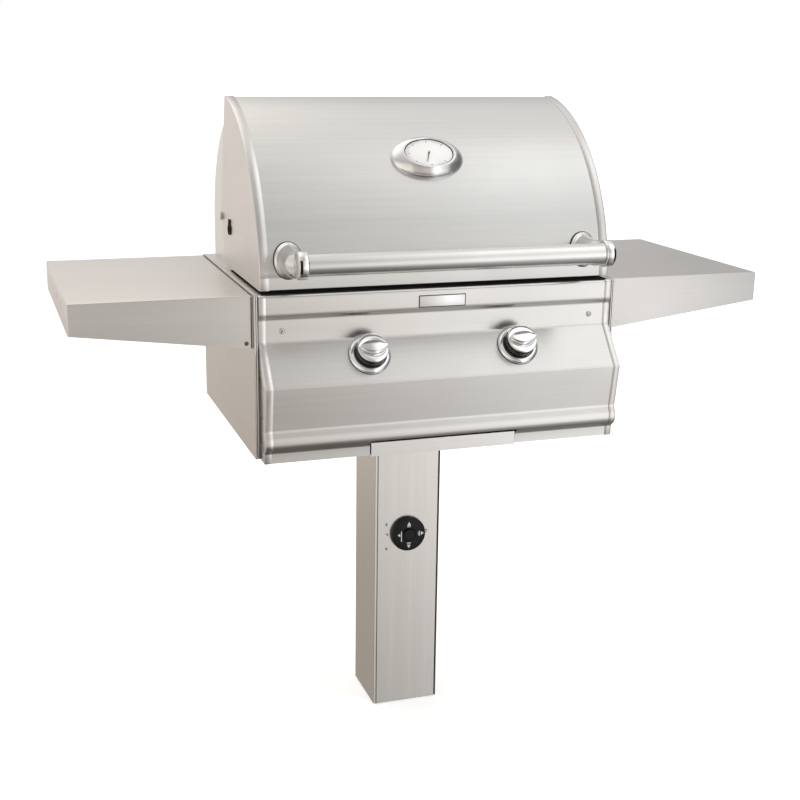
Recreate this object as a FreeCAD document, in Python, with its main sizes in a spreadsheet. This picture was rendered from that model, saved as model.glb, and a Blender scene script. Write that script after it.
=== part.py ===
# Post-mounted gas grill of stainless sheet: +X right, +Y back, +Z up, millimetres.
# The origin is the centre of the post's foot at ground level.
import FreeCAD, Part
import math
import os
import Sketcher
from FreeCAD import Placement, Rotation, Vector

doc = FreeCAD.newDocument("ParkGrill")

# Driving dimensions, in millimetres and degrees.
dimensions = {
    # post in the ground
    "post_width": 137.0,
    "post_wall": 3.0,
    "post_corner": 5.0,
    "timer_height": 371.0,
    "timer_neck_radius": 11.0,
    "timer_dial_radius": 36.0,
    "timer_dial_depth": 9.0,
    "timer_hub_radius": 12.0,
    "timer_hub_depth": 5.0,
    "timer_shaft_radius": 4.0,
    "timer_valve_radius": 24.0,
    "timer_stub": 28.0,
    "timer_neck_length": 5.0,
    "timer_shaft_depth": 18.0,
    "timer_hollow_gap": 3.0,
    "timer_hollow_depth": 6.0,
    "timer_edge": 2.0,
    "timer_sleeve": 3.0,
    "mount_plate_width": 220.0,
    "mount_plate_thickness": 5.0,
    "mount_bolt_pitch": 180.0,
    "mount_bolt_radius": 5.0,
    "mount_head_radius": 9.0,
    "mount_head_height": 5.0,
    "gas_hole_radius": 17.0,
    "gas_pipe_radius": 10.65,
    "gas_pipe_wall": 2.75,
    "gas_pipe_back": 45.0,
    # body of the grill
    "body_half": 345.0,
    "body_front": -238.0,
    "body_back": 240.0,
    "body_bottom": 609.0,
    "body_top": 902.0,
    "sheet": 1.2,
    "floor_thickness": 3.0,
    "rail_inner": 333.5,
    "side_lip": 9.0,
    "vent_width": 60.0,
    "vent_height": 7.0,
    "vent_count": 6,
    "vent_low": 697.0,
    "vent_high": 814.0,
    # fire box, its funnel and the fixed cowl behind the hood
    "shell_half": 320.0,
    "shell_sheet": 1.5,
    "firebox_front": -190.0,
    "firebox_back": 236.0,
    "firebox_bottom": 702.0,
    "ledge_width": 14.0,
    "grid_ledge_height": 889.0,
    "flavor_ledge_height": 822.0,
    "funnel_bottom": 644.0,
    "funnel_half": 105.0,
    "funnel_front": -165.0,
    "funnel_back": -20.0,
    "cowl_back": 238.0,
    "cowl_radius": 225.0,
    "cowl_centre_height": 972.0,
    "cowl_front": 40.0,
    "cowl_top_front": 112.0,
    "cowl_shoulder": 60.0,
    # control panel
    "panel_half": 336.5,
    "panel_sheet": 1.5,
    "panel_flat_front": -236.0,
    "panel_top_front": -240.0,
    "panel_top_round": 6.0,
    "panel_top_low": 862.0,
    "panel_groove_low": 856.0,
    "panel_groove_depth": 5.0,
    "panel_flat_low": 818.0,
    "panel_ridge_front": -292.0,
    "panel_ridge_height": 749.0,
    "panel_heel_front": -279.0,
    "panel_heel_height": 668.0,
    "panel_bead_front": -285.0,
    "panel_bead_height": 648.0,
    "panel_foot_front": -270.0,
    "panel_foot_top": 630.0,
    "panel_foot_ease": 3.0,
    "panel_groove_ease": 1.0,
    "panel_bead_half": 9.0,
    "trim_width": 12.5,
    "trim_sheet": 1.0,
    "panel_screw_x": 295.0,
    "panel_screw_height": 838.6,
    "panel_screw_radius": 2.5,
    "panel_screw_head": 5.2,
    "panel_screw_head_height": 2.0,
    "panel_screw_length": 12.0,
    "badge_width": 89.0,
    "badge_height": 22.0,
    "badge_centre_height": 879.0,
    "badge_thickness": 1.2,
    # knobs and gas train
    "knob_x": 142.0,
    "knob_down": 34.0,
    "knob_stem_radius": 4.0,
    "bezel_radius": 38.5,
    "bezel_inner": 28.6,
    "bezel_height": 9.0,
    "bezel_round": 13.0,
    "bezel_edge": 2.0,
    "bezel_bevel": 1.0,
    "skirt_radius": 27.5,
    "skirt_top_radius": 26.5,
    "skirt_bottom": 5.0,
    "skirt_height": 19.0,
    "skirt_wall": 5.0,
    "cap_radius": 28.0,
    "cap_height": 6.0,
    "cap_bevel": 1.5,
    "cap_rim": 3.0,
    "cap_round": 8.0,
    "grip_height": 9.0,
    "grip_half_width": 11.0,
    "valve_radius": 13.0,
    "outlet_radius": 5.0,
    "stub_radius": 7.0,
    "valve_length": 38.0,
    "valve_neck_radius": 7.0,
    "valve_neck_length": 10.0,
    "plug_radius": 8.5,
    "plug_length": 26.0,
    "plug_depth": 4.0,
    "plug_end_gap": 0.3,
    "outlet_reach": 6.0,
    "manifold_offset": 27.0,
    "manifold_half": 182.0,
    "supply_x": 290.0,
    "supply_level": 636.0,
    "pipe_bend": 22.0,
    "burner_radius": 19.0,
    "burner_wall": 1.5,
    "burner_port_count": 9,
    "burner_front": -150.0,
    "burner_back": 196.0,
    "venturi_radius": 12.5,
    "venturi_reach": 8.0,
    "burner_tab": 30.0,
    "burner_tab_sheet": 4.0,
    "burner_tab_overlap": 6.0,
    "burner_port_width": 3.0,
    "burner_port_depth": 4.0,
    # cooking parts
    "grid_bar_width": 8.0,
    "grid_bar_height": 10.0,
    "grid_bar_count": 16,
    "grid_gap": 4.0,
    "grid_tie_width": 6.0,
    "flavor_sheet": 1.5,
    "flavor_peaks": 4,
    "flavor_rise": 26.0,
    "rack_height": 1040.0,
    "rack_front": 70.0,
    "rack_back": 190.0,
    "rack_rod_radius": 3.0,
    "rack_rod_count": 7,
    "rack_tie_x": 200.0,
    "rack_tie_drop": 5.0,
    # drip tray
    "tray_centre": -3.0,
    "tray_half": 139.0,
    "tray_front": -273.0,
    "tray_back": 22.0,
    "tray_face_top": 632.5,
    "tray_face_bottom": 607.5,
    "tray_pan_bottom": 619.5,
    "tray_top": 631.0,
    "tray_pan_half": 127.0,
    "tray_gap": 0.4,
    "tray_wing_inset": 2.0,
    "tray_notch_gap": 1.6,
    # shelves
    "shelf_outer": 657.0,
    "shelf_gap": 1.3,
    "shelf_front": -229.0,
    "shelf_back": 235.0,
    "shelf_inner_depth": 94.0,
    "shelf_outer_depth": 55.0,
    "shelf_lip": 12.0,
    "shelf_pivot_out": 11.3,
    "shelf_pivot_down": 84.0,
    "shelf_pin_radius": 4.0,
    "shelf_slot_width": 5.0,
    "shelf_slot_height": 14.0,
    "shelf_slot_pitch": 83.0,
    "shelf_slot_back": 155.0,
    "shelf_slot_drop": 23.0,
    "shelf_slot_count": 4,
    "bracket_sheet": 3.0,
    "running_gap": 0.5,
    "pin_clearance": 0.06,
    # hood
    "hood_half": 332.25,
    "hood_radius": 333.0,
    "hood_centre_back": 101.0,
    "hood_centre_height": 897.0,
    "hood_bottom": 909.0,
    "hood_lip_height": 22.0,
    "hood_lip_step": 1.0,
    "hood_lip_fold": 16.0,
    "hood_top_back": 46.0,
    "hood_rear_drop": 48.0,
    "hood_band_width": 17.0,
    "hood_pivot_back": 90.0,
    "hood_pivot_height": 1000.0,
    "hood_ear_radius": 16.0,
    "hood_foot_back": 72.0,
    "pivot_bolt_radius": 5.0,
    "pivot_head_radius": 8.0,
    "pivot_head_height": 5.0,
    "pivot_bush_radius": 10.0,
    "side_gap": 0.3,
    "keyhole_back": 16.0,
    "keyhole_top": 1000.0,
    "keyhole_bottom": 974.0,
    "keyhole_radius": 4.5,
    "keyhole_slot_radius": 2.2,
    "rest_radius": 6.0,
    "rest_front": -150.0,
    "rest_gap": 0.3,
    "rest_inset": 2.0,
    "lip_ease": 2.0,
    # handle
    "handle_angle": 9.3,
    "handle_standoff": 96.0,
    "handle_radius": 19.0,
    "handle_wall": 1.6,
    "handle_half": 272.0,
    "ring_radius": 24.0,
    "ring_width": 17.0,
    "ring_bore": 12.0,
    "ring_slot_height": 22.0,
    "ring_slot_width": 5.0,
    "ring_slot_depth": 3.0,
    "handle_foot_wide": 25.5,
    "handle_foot_tall": 32.0,
    "handle_foot_up": 9.0,
    "handle_foot_step": 5.0,
    "handle_waist_wide": 15.0,
    "handle_waist_tall": 21.0,
    "handle_foot_tip": 14.0,
    "handle_foot_sunk": 8.0,
    "handle_foot_rim": 2.0,
    "handle_foot_overlap": 6.0,
    "handle_foot_inset": 1.0,
    "handle_bolt_radius": 3.0,
    "handle_bolt_length": 20.0,
    "handle_bolt_head": 4.0,
    # thermometer
    "dial_angle": 42.8,
    "bezel_half_long": 69.0,
    "bezel_half_short": 46.0,
    "dial_half_long": 46.0,
    "dial_half_short": 31.0,
    "dial_rise": 18.0,
    "dial_sheet": 1.0,
    "dial_recess": 4.0,
    "bezel_sunk": 6.0,
    "bezel_edge_rise": 2.0,
    "bezel_shoulder_rise": 9.0,
    "bezel_shoulder_inset": 5.0,
    "bezel_rim_width": 4.0,
    "needle_length": 21.0,
    "needle_width": 3.0,
    "needle_tip_width": 0.8,
    "needle_tail": 6.0,
    "needle_sheet": 0.8,
    "needle_angle": 20.0,
    "needle_hub_radius": 3.2,
    "needle_hub_height": 1.2,
    "needle_post_radius": 1.5,
    "needle_post_height": 2.2,
    "needle_lift": 0.5,
    "probe_radius": 3.5,
    "probe_length": 60.0,
}

sheet = doc.addObject("Spreadsheet::Sheet", "Sizes")
for row, (alias, amount) in enumerate(dimensions.items(), start=1):
    sheet.set("A%d" % row, alias)
    sheet.set("B%d" % row, str(amount))
    sheet.setAlias("B%d" % row, alias)
doc.recompute()


class Size:
    # A number together with the spreadsheet expression that it comes from.
    def __init__(self, value, text):
        self.value = float(value)
        self.text = text

    def __add__(self, other):
        other = as_size(other)
        return Size(self.value + other.value, "(%s + %s)" % (self.text, other.text))

    def __sub__(self, other):
        other = as_size(other)
        return Size(self.value - other.value, "(%s - %s)" % (self.text, other.text))

    def __mul__(self, other):
        other = as_size(other)
        return Size(self.value * other.value, "(%s * %s)" % (self.text, other.text))

    def __truediv__(self, other):
        other = as_size(other)
        return Size(self.value / other.value, "(%s / %s)" % (self.text, other.text))

    def __radd__(self, other):
        return as_size(other) + self

    def __rsub__(self, other):
        return as_size(other) - self

    def __rmul__(self, other):
        return as_size(other) * self

    def __neg__(self):
        return Size(-self.value, "(0 - %s)" % self.text)


def as_size(number):
    if isinstance(number, Size):
        return number
    return Size(number, "(%s)" % repr(float(number)))


def cosine(angle):
    return Size(math.cos(math.radians(angle.value)), "cos(%s * 1 deg)" % angle.text)


def sine(angle):
    return Size(math.sin(math.radians(angle.value)), "sin(%s * 1 deg)" % angle.text)


def root(amount):
    return Size(math.sqrt(amount.value), "sqrt(%s)" % amount.text)


def slope_angle(rise, run):
    # The angle of a slope in degrees.
    degrees = math.degrees(math.atan2(rise.value, run.value))
    return Size(degrees, "(atan2(%s; %s) / 1 deg)" % (rise.text, run.text))


class Sizes:
    def __getattr__(self, alias):
        return Size(sheet.get(alias), "Sizes." + alias)


d = Sizes()
parts = []
# How far a cutting shape runs past what it cuts.
past = 20


def bind(item, **amounts):
    for name, amount in amounts.items():
        amount = as_size(amount)
        setattr(item, name, amount.value)
        item.setExpression(name, amount.text)
    return item


def place(item, x=0, y=0, z=0, axis=None, angle=0):
    x, y, z, angle = as_size(x), as_size(y), as_size(z), as_size(angle)
    turn = Rotation(Vector(*(axis or (0, 0, 1))), angle.value)
    item.Placement = Placement(Vector(x.value, y.value, z.value), turn)
    item.setExpression(".Placement.Base.x", x.text)
    item.setExpression(".Placement.Base.y", y.text)
    item.setExpression(".Placement.Base.z", z.text)
    if axis:
        item.setExpression(".Placement.Rotation.Angle", angle.text)
    return item


def box(x0, x1, y0, y1, z0, z1):
    x0, x1, y0, y1, z0, z1 = (as_size(each) for each in (x0, x1, y0, y1, z0, z1))
    item = doc.addObject("Part::Box", "Block")
    bind(item, Length=x1 - x0, Width=y1 - y0, Height=z1 - z0)
    return place(item, x0, y0, z0)


def rod(radius, length, x, y, z, axis=None, angle=0):
    # A cylinder that starts at the given point and runs along +Z, turned about the axis.
    item = doc.addObject("Part::Cylinder", "Rod")
    bind(item, Radius=radius, Height=length)
    return place(item, x, y, z, axis, angle)


def rod_x(radius, x0, x1, y, z):
    return rod(radius, as_size(x1) - x0, x0, y, z, (0, 1, 0), 90)


def rod_back(radius, y0, y1, x, z):
    # A cylinder from y0 back to y1.
    return rod(radius, as_size(y1) - y0, x, y0, z, (1, 0, 0), -90)


def fuse(*items):
    item = doc.addObject("Part::MultiFuse", "Joined")
    item.Shapes = list(items)
    item.Refine = True
    return item


def cut(base, *tools):
    item = doc.addObject("Part::Cut", "Trimmed")
    item.Base = base
    item.Tool = tools[0] if len(tools) == 1 else fuse(*tools)
    return item


def common(*items):
    item = doc.addObject("Part::MultiCommon", "Shared")
    item.Shapes = list(items)
    return item


def group(*items):
    # Several separate solids in one node.
    item = doc.addObject("Part::Compound", "Group")
    item.Links = list(items)
    return item


def mirrored(source):
    item = doc.addObject("Part::Mirroring", "Mirrored")
    item.Source = source
    item.Normal = Vector(1, 0, 0)
    return item


def keep(label, item):
    item.Label = label
    parts.append(item)
    return item


def new_body(name):
    return doc.addObject("PartDesign::Body", name)


def new_sketch(body, role, offset=None):
    sketch = body.newObject("Sketcher::SketchObject", "Outline")
    plane = [each for each in body.Origin.OriginFeatures if each.Role == role][0]
    sketch.AttachmentSupport = [(plane, "")]
    sketch.MapMode = "FlatFace"
    if offset is not None:
        sketch.setExpression(".AttachmentOffset.Base.z", as_size(offset).text)
    return sketch


def fix_point(sketch, geometry, end, point):
    for kind, amount in zip(("DistanceX", "DistanceY"), point):
        amount = as_size(amount)
        constraint = Sketcher.Constraint(kind, -1, 1, geometry, end, amount.value)
        index = sketch.addConstraint(constraint)
        sketch.setExpression("Constraints[%d]" % index, amount.text)


def outline(sketch, points):
    # A closed outline. A point is (x, y), or (x, y, radius, side) where an arc of that
    # radius leads to it, bulging to the left of its chord for side 1 and right for -1.
    flat = [tuple(as_size(each).value for each in point[:2]) for point in points]
    first = sketch.GeometryCount
    for index, point in enumerate(points):
        ax, ay = flat[index - 1]
        bx, by = flat[index]
        start, end = Vector(ax, ay, 0), Vector(bx, by, 0)
        if len(point) == 2:
            sketch.addGeometry(Part.LineSegment(start, end), False)
            continue
        radius, side = as_size(point[2]).value, point[3]
        half = (end - start) * 0.5
        sagitta = radius - math.sqrt(radius ** 2 - half.Length ** 2)
        normal = Vector(-half.y, half.x, 0).normalize() * side
        sketch.addGeometry(Part.Arc(start, start + half + normal * sagitta, end), False)
    count = len(points)
    for index, point in enumerate(points):
        # An arc that bulges left runs against its chord, so its ends are swapped.
        here = first + index
        turned = len(point) == 4 and point[3] == 1
        last_end = 1 if turned else 2
        after = first + (index + 1) % count
        next_point = points[(index + 1) % count]
        next_turned = len(next_point) == 4 and next_point[3] == 1
        next_start = 2 if next_turned else 1
        sketch.addConstraint(Sketcher.Constraint("Coincident", here, last_end, after, next_start))
        fix_point(sketch, here, last_end, point[:2])
        if len(point) == 4:
            radius = as_size(point[2])
            arc = sketch.addConstraint(Sketcher.Constraint("Radius", here, radius.value))
            sketch.setExpression("Constraints[%d]" % arc, radius.text)
    return sketch


def rectangle(sketch, x0, x1, y0, y1):
    return outline(sketch, [(x0, y0), (x1, y0), (x1, y1), (x0, y1)])


def circle(sketch, x, y, radius):
    centre = Vector(as_size(x).value, as_size(y).value, 0)
    radius = as_size(radius)
    index = sketch.addGeometry(Part.Circle(centre, Vector(0, 0, 1), radius.value), False)
    fix_point(sketch, index, 3, (x, y))
    constraint = sketch.addConstraint(Sketcher.Constraint("Radius", index, radius.value))
    sketch.setExpression("Constraints[%d]" % constraint, radius.text)
    return sketch


def pad(body, sketch, length, reverse=False, middle=False):
    item = body.newObject("PartDesign::Pad", "Pad")
    item.Profile = sketch
    item.SideType = "Symmetric" if middle else "One side"
    item.Reversed = reverse
    bind(item, Length=length)
    return item


def pocket(body, sketch, length=None, reverse=False, middle=False):
    item = body.newObject("PartDesign::Pocket", "Pocket")
    item.Profile = sketch
    item.SideType = "Symmetric" if middle else "One side"
    item.Reversed = reverse
    if length is None:
        item.Type = "ThroughAll"
    else:
        bind(item, Length=length)
    return item


def revolve(body, sketch, axis="V_Axis"):
    item = body.newObject("PartDesign::Revolution", "Revolution")
    item.Profile = sketch
    item.ReferenceAxis = (sketch, [axis])
    item.Angle = 360
    return item


def turned_piece(name, points):
    # A body turned about its own Z axis from (radius, height) points.
    body = new_body(name)
    revolve(body, outline(new_sketch(body, "XZ_Plane"), points))
    return body


def pipe(label, points, radius, wall, bend):
    # A tube along straight runs joined by tangent arcs.
    spots = [Vector(*(as_size(each).value for each in point)) for point in points]
    edges = []
    start = spots[0]
    for before, corner, after in zip(spots, spots[1:], spots[2:]):
        back = (before - corner).normalize()
        ahead = (after - corner).normalize()
        reach = bend.value / math.tan(back.getAngle(ahead) / 2)
        middle = (back + ahead).normalize()
        depth = math.hypot(reach, bend.value) - bend.value
        entry, leave = corner + back * reach, corner + ahead * reach
        edges.append(Part.LineSegment(start, entry).toShape())
        edges.append(Part.Arc(entry, corner + middle * depth, leave).toShape())
        start = leave
    edges.append(Part.LineSegment(start, spots[-1]).toShape())
    path = Part.Wire(edges)
    heading = spots[1] - spots[0]
    shells = []
    for size in (radius.value, radius.value - wall.value):
        ring = Part.Wire(Part.Circle(spots[0], heading, size).toShape())
        shells.append(path.makePipeShell([ring], True, False))
    item = doc.addObject("Part::Feature", "Pipe")
    item.Shape = shells[0].cut(shells[1])
    return keep(label, item)


# Places that several pieces share.
post_top = d.body_bottom - d.mount_plate_thickness
floor_top = d.body_bottom + d.floor_thickness
body_inner = d.body_half - d.sheet
flange_top = d.body_top + d.shell_sheet
panel_inner_front = d.panel_foot_front + d.panel_sheet
slope_run = d.panel_flat_front - d.panel_ridge_front
slope_drop = d.panel_flat_low - d.panel_ridge_height
slope_tilt = slope_angle(slope_drop, slope_run)
knob_y = d.panel_flat_front - d.knob_down * cosine(slope_tilt)
knob_z = d.panel_flat_low - d.knob_down * sine(slope_tilt)
valve_back = d.valve_neck_length + d.valve_length / 2
valve_y = knob_y + valve_back * sine(slope_tilt)
valve_z = knob_z - valve_back * cosine(slope_tilt)
manifold_y = valve_y - d.manifold_offset * cosine(slope_tilt)
manifold_z = valve_z - d.manifold_offset * sine(slope_tilt)
side_inner = d.hood_half - d.sheet
shelf_inner = d.body_half + d.shelf_gap
shelf_pivot_x = d.body_half + d.shelf_pivot_out
shelf_pivot_z = d.body_top - d.shelf_pivot_down
cowl_centre = d.cowl_back - d.cowl_radius
rail_front = d.panel_foot_front + 4 * d.panel_sheet
rail_hem = d.body_top - 3 * d.sheet
fold_front = d.panel_top_front + d.panel_top_round


def make_post():
    body = new_body("PostTube")
    half = d.post_width / 2
    inner = half - d.post_wall
    pad(body, rectangle(new_sketch(body, "XY_Plane"), -half, half, -half, half), post_top)
    doc.recompute()
    block = body.Tip
    upright = []
    for number, edge in enumerate(block.Shape.Edges, start=1):
        if abs(edge.tangentAt(edge.FirstParameter).z) > 0.99:
            upright.append("Edge%d" % number)
    rounding = body.newObject("PartDesign::Fillet", "Corners")
    rounding.Base = (block, upright)
    bind(rounding, Radius=d.post_corner)
    pocket(body, rectangle(new_sketch(body, "XY_Plane"), -inner, inner, -inner, inner), reverse=True)
    neck = new_sketch(body, "XZ_Plane")
    circle(neck, 0, d.timer_height, d.timer_neck_radius + d.pin_clearance)
    pocket(body, neck, half + past, reverse=True)
    keep("post_tube", body)

    plate = new_body("MountPlate")
    reach = d.mount_plate_width / 2
    face = rectangle(new_sketch(plate, "XY_Plane", post_top), -reach, reach, -reach, reach)
    pad(plate, face, d.mount_plate_thickness)
    holes = new_sketch(plate, "XY_Plane", post_top)
    circle(holes, 0, d.gas_pipe_back, d.gas_hole_radius)
    spot = d.mount_bolt_pitch / 2
    for side, end in ((-1, -1), (1, -1), (1, 1), (-1, 1)):
        circle(holes, side * spot, end * spot, d.mount_bolt_radius + d.pin_clearance)
    pocket(plate, holes, reverse=True)
    keep("mount_plate", plate)

    bolts, nuts = [], []
    for side, end in ((-1, -1), (1, -1), (1, 1), (-1, 1)):
        x, y = side * spot, end * spot
        grip = d.mount_plate_thickness + d.floor_thickness + 2 * d.mount_head_height
        shank = rod(d.mount_bolt_radius, grip, x, y, floor_top - grip)
        head = rod(d.mount_head_radius, d.mount_head_height, x, y, floor_top)
        bolts.append(fuse(shank, head))
        nut = doc.addObject("Part::Prism", "Hexagon")
        bind(nut, Circumradius=d.mount_head_radius, Height=d.mount_head_height)
        place(nut, x, y, post_top - d.mount_head_height)
        bore = rod(d.mount_bolt_radius + d.pin_clearance, d.mount_head_height, x, y,
                   post_top - d.mount_head_height)
        nuts.append(cut(nut, bore))
    keep("mount_bolts", group(*bolts))
    keep("mount_nuts", group(*nuts))


def make_body():
    floor = new_body("FloorPlate")
    face = rectangle(new_sketch(floor, "XY_Plane", d.body_bottom), -body_inner + d.side_lip,
                     body_inner - d.side_lip, panel_inner_front, d.body_back - d.sheet)
    pad(floor, face, d.floor_thickness)
    holes = new_sketch(floor, "XY_Plane", d.body_bottom)
    circle(holes, 0, d.gas_pipe_back, d.gas_hole_radius)
    spot = d.mount_bolt_pitch / 2
    for side, end in ((-1, -1), (1, -1), (1, 1), (-1, 1)):
        circle(holes, side * spot, end * spot, d.mount_bolt_radius + d.pin_clearance)
    pocket(floor, holes, reverse=True)
    keep("floor_plate", floor)

    # The side is one folded sheet: a top rail with a hem, the wall and a bottom lip.
    side = new_body("SidePanel")
    foot = body_inner - d.side_lip
    profile = new_sketch(side, "XZ_Plane", -d.body_back)
    outline(profile, [
        (foot, d.body_bottom), (d.body_half, d.body_bottom), (d.body_half, d.body_top),
        (d.rail_inner, d.body_top), (d.rail_inner, rail_hem), (d.rail_inner + d.sheet, rail_hem),
        (d.rail_inner + d.sheet, d.body_top - d.sheet), (body_inner, d.body_top - d.sheet),
        (body_inner, d.body_bottom + d.sheet), (foot, d.body_bottom + d.sheet)])
    pad(side, profile, d.body_back - d.body_front)
    # Its front edge returns inwards to the end of the control panel.
    panel_end = d.panel_half + d.running_gap
    front = new_sketch(side, "XZ_Plane", -d.body_front - d.sheet)
    rectangle(front, panel_end, d.body_half, d.body_bottom, d.body_top)
    pad(side, front, d.sheet)
    # The rail starts behind the rounded top of the control panel.
    notch = new_sketch(side, "XY_Plane", rail_hem)
    rectangle(notch, d.rail_inner - past, panel_end, d.body_front - past, fold_front + d.running_gap)
    pocket(side, notch, reverse=True)
    keep("side_panel_right", side)
    keep("side_panel_left", mirrored(side))

    # The back closes the body, with two rows of vents.
    back = new_body("BackPanel")
    wall = new_sketch(back, "XZ_Plane", -d.body_back)
    low = d.body_bottom + d.sheet
    outline(wall, [
        (-body_inner, low), (body_inner, low), (body_inner, rail_hem), (d.rail_inner, rail_hem),
        (d.rail_inner, d.body_top), (-d.rail_inner, d.body_top), (-d.rail_inner, rail_hem),
        (-body_inner, rail_hem)])
    pad(back, wall, d.sheet)
    for level in (d.vent_low, d.vent_high):
        vents = vent_row(back, d.body_back, level)
        pocket(back, vents, past, middle=True)
    keep("back_panel", back)


def vent_row(body, depth, level):
    # A row of slots in a wall that faces back.
    row = new_sketch(body, "XZ_Plane", -depth)
    pitch = 1.5 * d.vent_width
    count = int(round(d.vent_count.value))
    for step in range(count):
        left = (step - (count - 1) / 2) * pitch - d.vent_width / 2
        rectangle(row, left, left + d.vent_width, level, level + d.vent_height)
    return row


def make_firebox():
    # Walls with a flange that lies on the side rails and on the control panel's top fold.
    body = new_body("Firebox")
    inner = d.shell_half - d.shell_sheet
    front, back = d.firebox_front, d.firebox_back
    pad(body, rectangle(new_sketch(body, "XY_Plane", d.firebox_bottom),
                        -d.shell_half, d.shell_half, front, back), flange_top - d.firebox_bottom)
    flange = rectangle(new_sketch(body, "XY_Plane", d.body_top),
                       -d.body_half, d.body_half, fold_front, d.body_back)
    pad(body, flange, d.shell_sheet)
    space = rectangle(new_sketch(body, "XY_Plane", d.firebox_bottom), -inner, inner,
                      front + d.shell_sheet, back - d.shell_sheet)
    pocket(body, space, reverse=True)
    # Ledges along the front and back walls carry the grids.
    for level in (d.grid_ledge_height, d.flavor_ledge_height):
        ledges = new_sketch(body, "XY_Plane", level - d.shell_sheet)
        rectangle(ledges, -inner, inner, front + d.shell_sheet / 2, front + d.ledge_width)
        rectangle(ledges, -inner, inner, back - d.ledge_width, back - d.shell_sheet / 2)
        pad(body, ledges, d.shell_sheet)
    holes = new_sketch(body, "XZ_Plane", -front - d.shell_sheet)
    for side in (-1, 1):
        circle(holes, side * d.knob_x, valve_z, d.venturi_radius + d.running_gap)
    pocket(body, holes, d.shell_sheet * 2, middle=True)
    keep("firebox", body)

    # The funnel hangs under the walls and leads the grease down to the tray.
    funnel = new_body("Funnel")
    for fit, feature in ((0, "PartDesign::AdditiveLoft"), (1, "PartDesign::SubtractiveLoft")):
        wall = fit * d.shell_sheet
        top = rectangle(new_sketch(funnel, "XY_Plane", d.firebox_bottom), -d.shell_half + wall,
                        d.shell_half - wall, front + wall, back - wall)
        low = rectangle(new_sketch(funnel, "XY_Plane", d.funnel_bottom), -d.funnel_half + wall,
                        d.funnel_half - wall, d.funnel_front + wall, d.funnel_back - wall)
        loft = funnel.newObject(feature, "Slopes")
        loft.Profile = top
        loft.Sections = [low]
        loft.Ruled = True
    keep("firebox_funnel", funnel)


def cowl_outline(body, wall, reach_out):
    # The cowl's section; its hollow reaches out past the open front and foot.
    reach = d.cowl_radius - wall
    back = d.cowl_back - wall
    top_y = d.cowl_top_front
    away = top_y - cowl_centre
    top_z = d.cowl_centre_height + root(reach * reach - away * away)
    front = d.cowl_front - reach_out
    low = flange_top - reach_out
    points = [(front, low), (back, low), (back, d.cowl_centre_height), (top_y, top_z, reach, -1)]
    if reach_out:
        points.append((top_y - reach_out, top_z))
    points.append((front, d.hood_pivot_height + d.cowl_shoulder))
    return outline(new_sketch(body, "YZ_Plane"), points)


def make_cowl():
    # The cowl is the fixed rear of the cooking space; its curve clears the opening hood.
    body = new_body("Cowl")
    inner = d.shell_half - d.shell_sheet
    pad(body, cowl_outline(body, 0, 0), 2 * d.shell_half, middle=True)
    pocket(body, cowl_outline(body, d.shell_sheet, past), 2 * inner, middle=True)
    holes = new_sketch(body, "YZ_Plane")
    circle(holes, d.hood_pivot_back, d.hood_pivot_height, d.pivot_bolt_radius + d.pin_clearance)
    pocket(body, holes, 2 * d.shell_half + past, middle=True)
    vents = vent_row(body, d.cowl_back, (flange_top + d.cowl_centre_height) / 2)
    pocket(body, vents, past, middle=True)
    keep("rear_cowl", body)

    bolts, bushes = [], []
    y, z = d.hood_pivot_back, d.hood_pivot_height
    outside = d.hood_half + d.side_gap
    head_height = d.pivot_head_height
    for side in (-1, 1):
        bolt = fuse(rod_x(d.pivot_bolt_radius, inner - head_height, outside + head_height, y, z),
                    rod_x(d.pivot_head_radius, outside, outside + head_height, y, z),
                    rod_x(d.pivot_head_radius, inner - head_height, inner, y, z))
        bush = cut(rod_x(d.pivot_bush_radius, d.shell_half, side_inner - d.side_gap, y, z),
                   rod_x(d.pivot_bolt_radius + d.pin_clearance, inner, outside, y, z))
        bolts.append(bolt if side > 0 else mirrored(bolt))
        bushes.append(bush if side > 0 else mirrored(bush))
    keep("hood_pivot_bolts", group(*bolts))
    keep("hood_pivot_bushes", group(*bushes))

    buttons = []
    for side in (-1, 1):
        height = d.hood_bottom - d.rest_gap - flange_top
        x = side * (d.rail_inner - d.rest_radius - d.rest_inset)
        buttons.append(rod(d.rest_radius, height, x, d.rest_front, flange_top))
    keep("hood_rest_buttons", group(*buttons))


def panel_front(forward):
    # The front of the panel's section in (y, z), moved forward, from its top to its foot.
    groove = d.panel_flat_front + d.panel_groove_depth
    ease = d.panel_groove_ease
    top = d.panel_top_front
    bead = d.panel_bead_front
    foot, foot_ease = d.panel_foot_front, d.panel_foot_ease
    low = [
        (top, d.panel_top_low), (groove, d.panel_top_low - ease), (groove, d.panel_groove_low + ease),
        (d.panel_flat_front, d.panel_groove_low), (d.panel_flat_front, d.panel_flat_low),
        (d.panel_ridge_front, d.panel_ridge_height), (d.panel_heel_front, d.panel_heel_height),
        (bead, d.panel_bead_height + d.panel_bead_half), (bead, d.panel_bead_height - d.panel_bead_half),
        (foot + foot_ease, d.panel_foot_top), (foot, d.panel_foot_top - foot_ease), (foot, d.body_bottom)]
    low = [(y - forward, z) for y, z in low]
    high = [(fold_front - forward, d.body_top + forward),
            (top - forward, d.body_top + forward - d.panel_top_round, d.panel_top_round, 1)]
    return high, low


def panel_section(forward, wall):
    # The folded sheet: its front from top to foot, then its back face up again.
    high, low = panel_front(forward)
    corner = high[1]
    section = high + low + [(y + wall, z) for y, z in reversed(low)]
    section.append((corner[0] + wall, corner[1]))
    section.append((high[0][0], high[0][1] - wall, d.panel_top_round - wall, -1))
    return section


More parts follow.
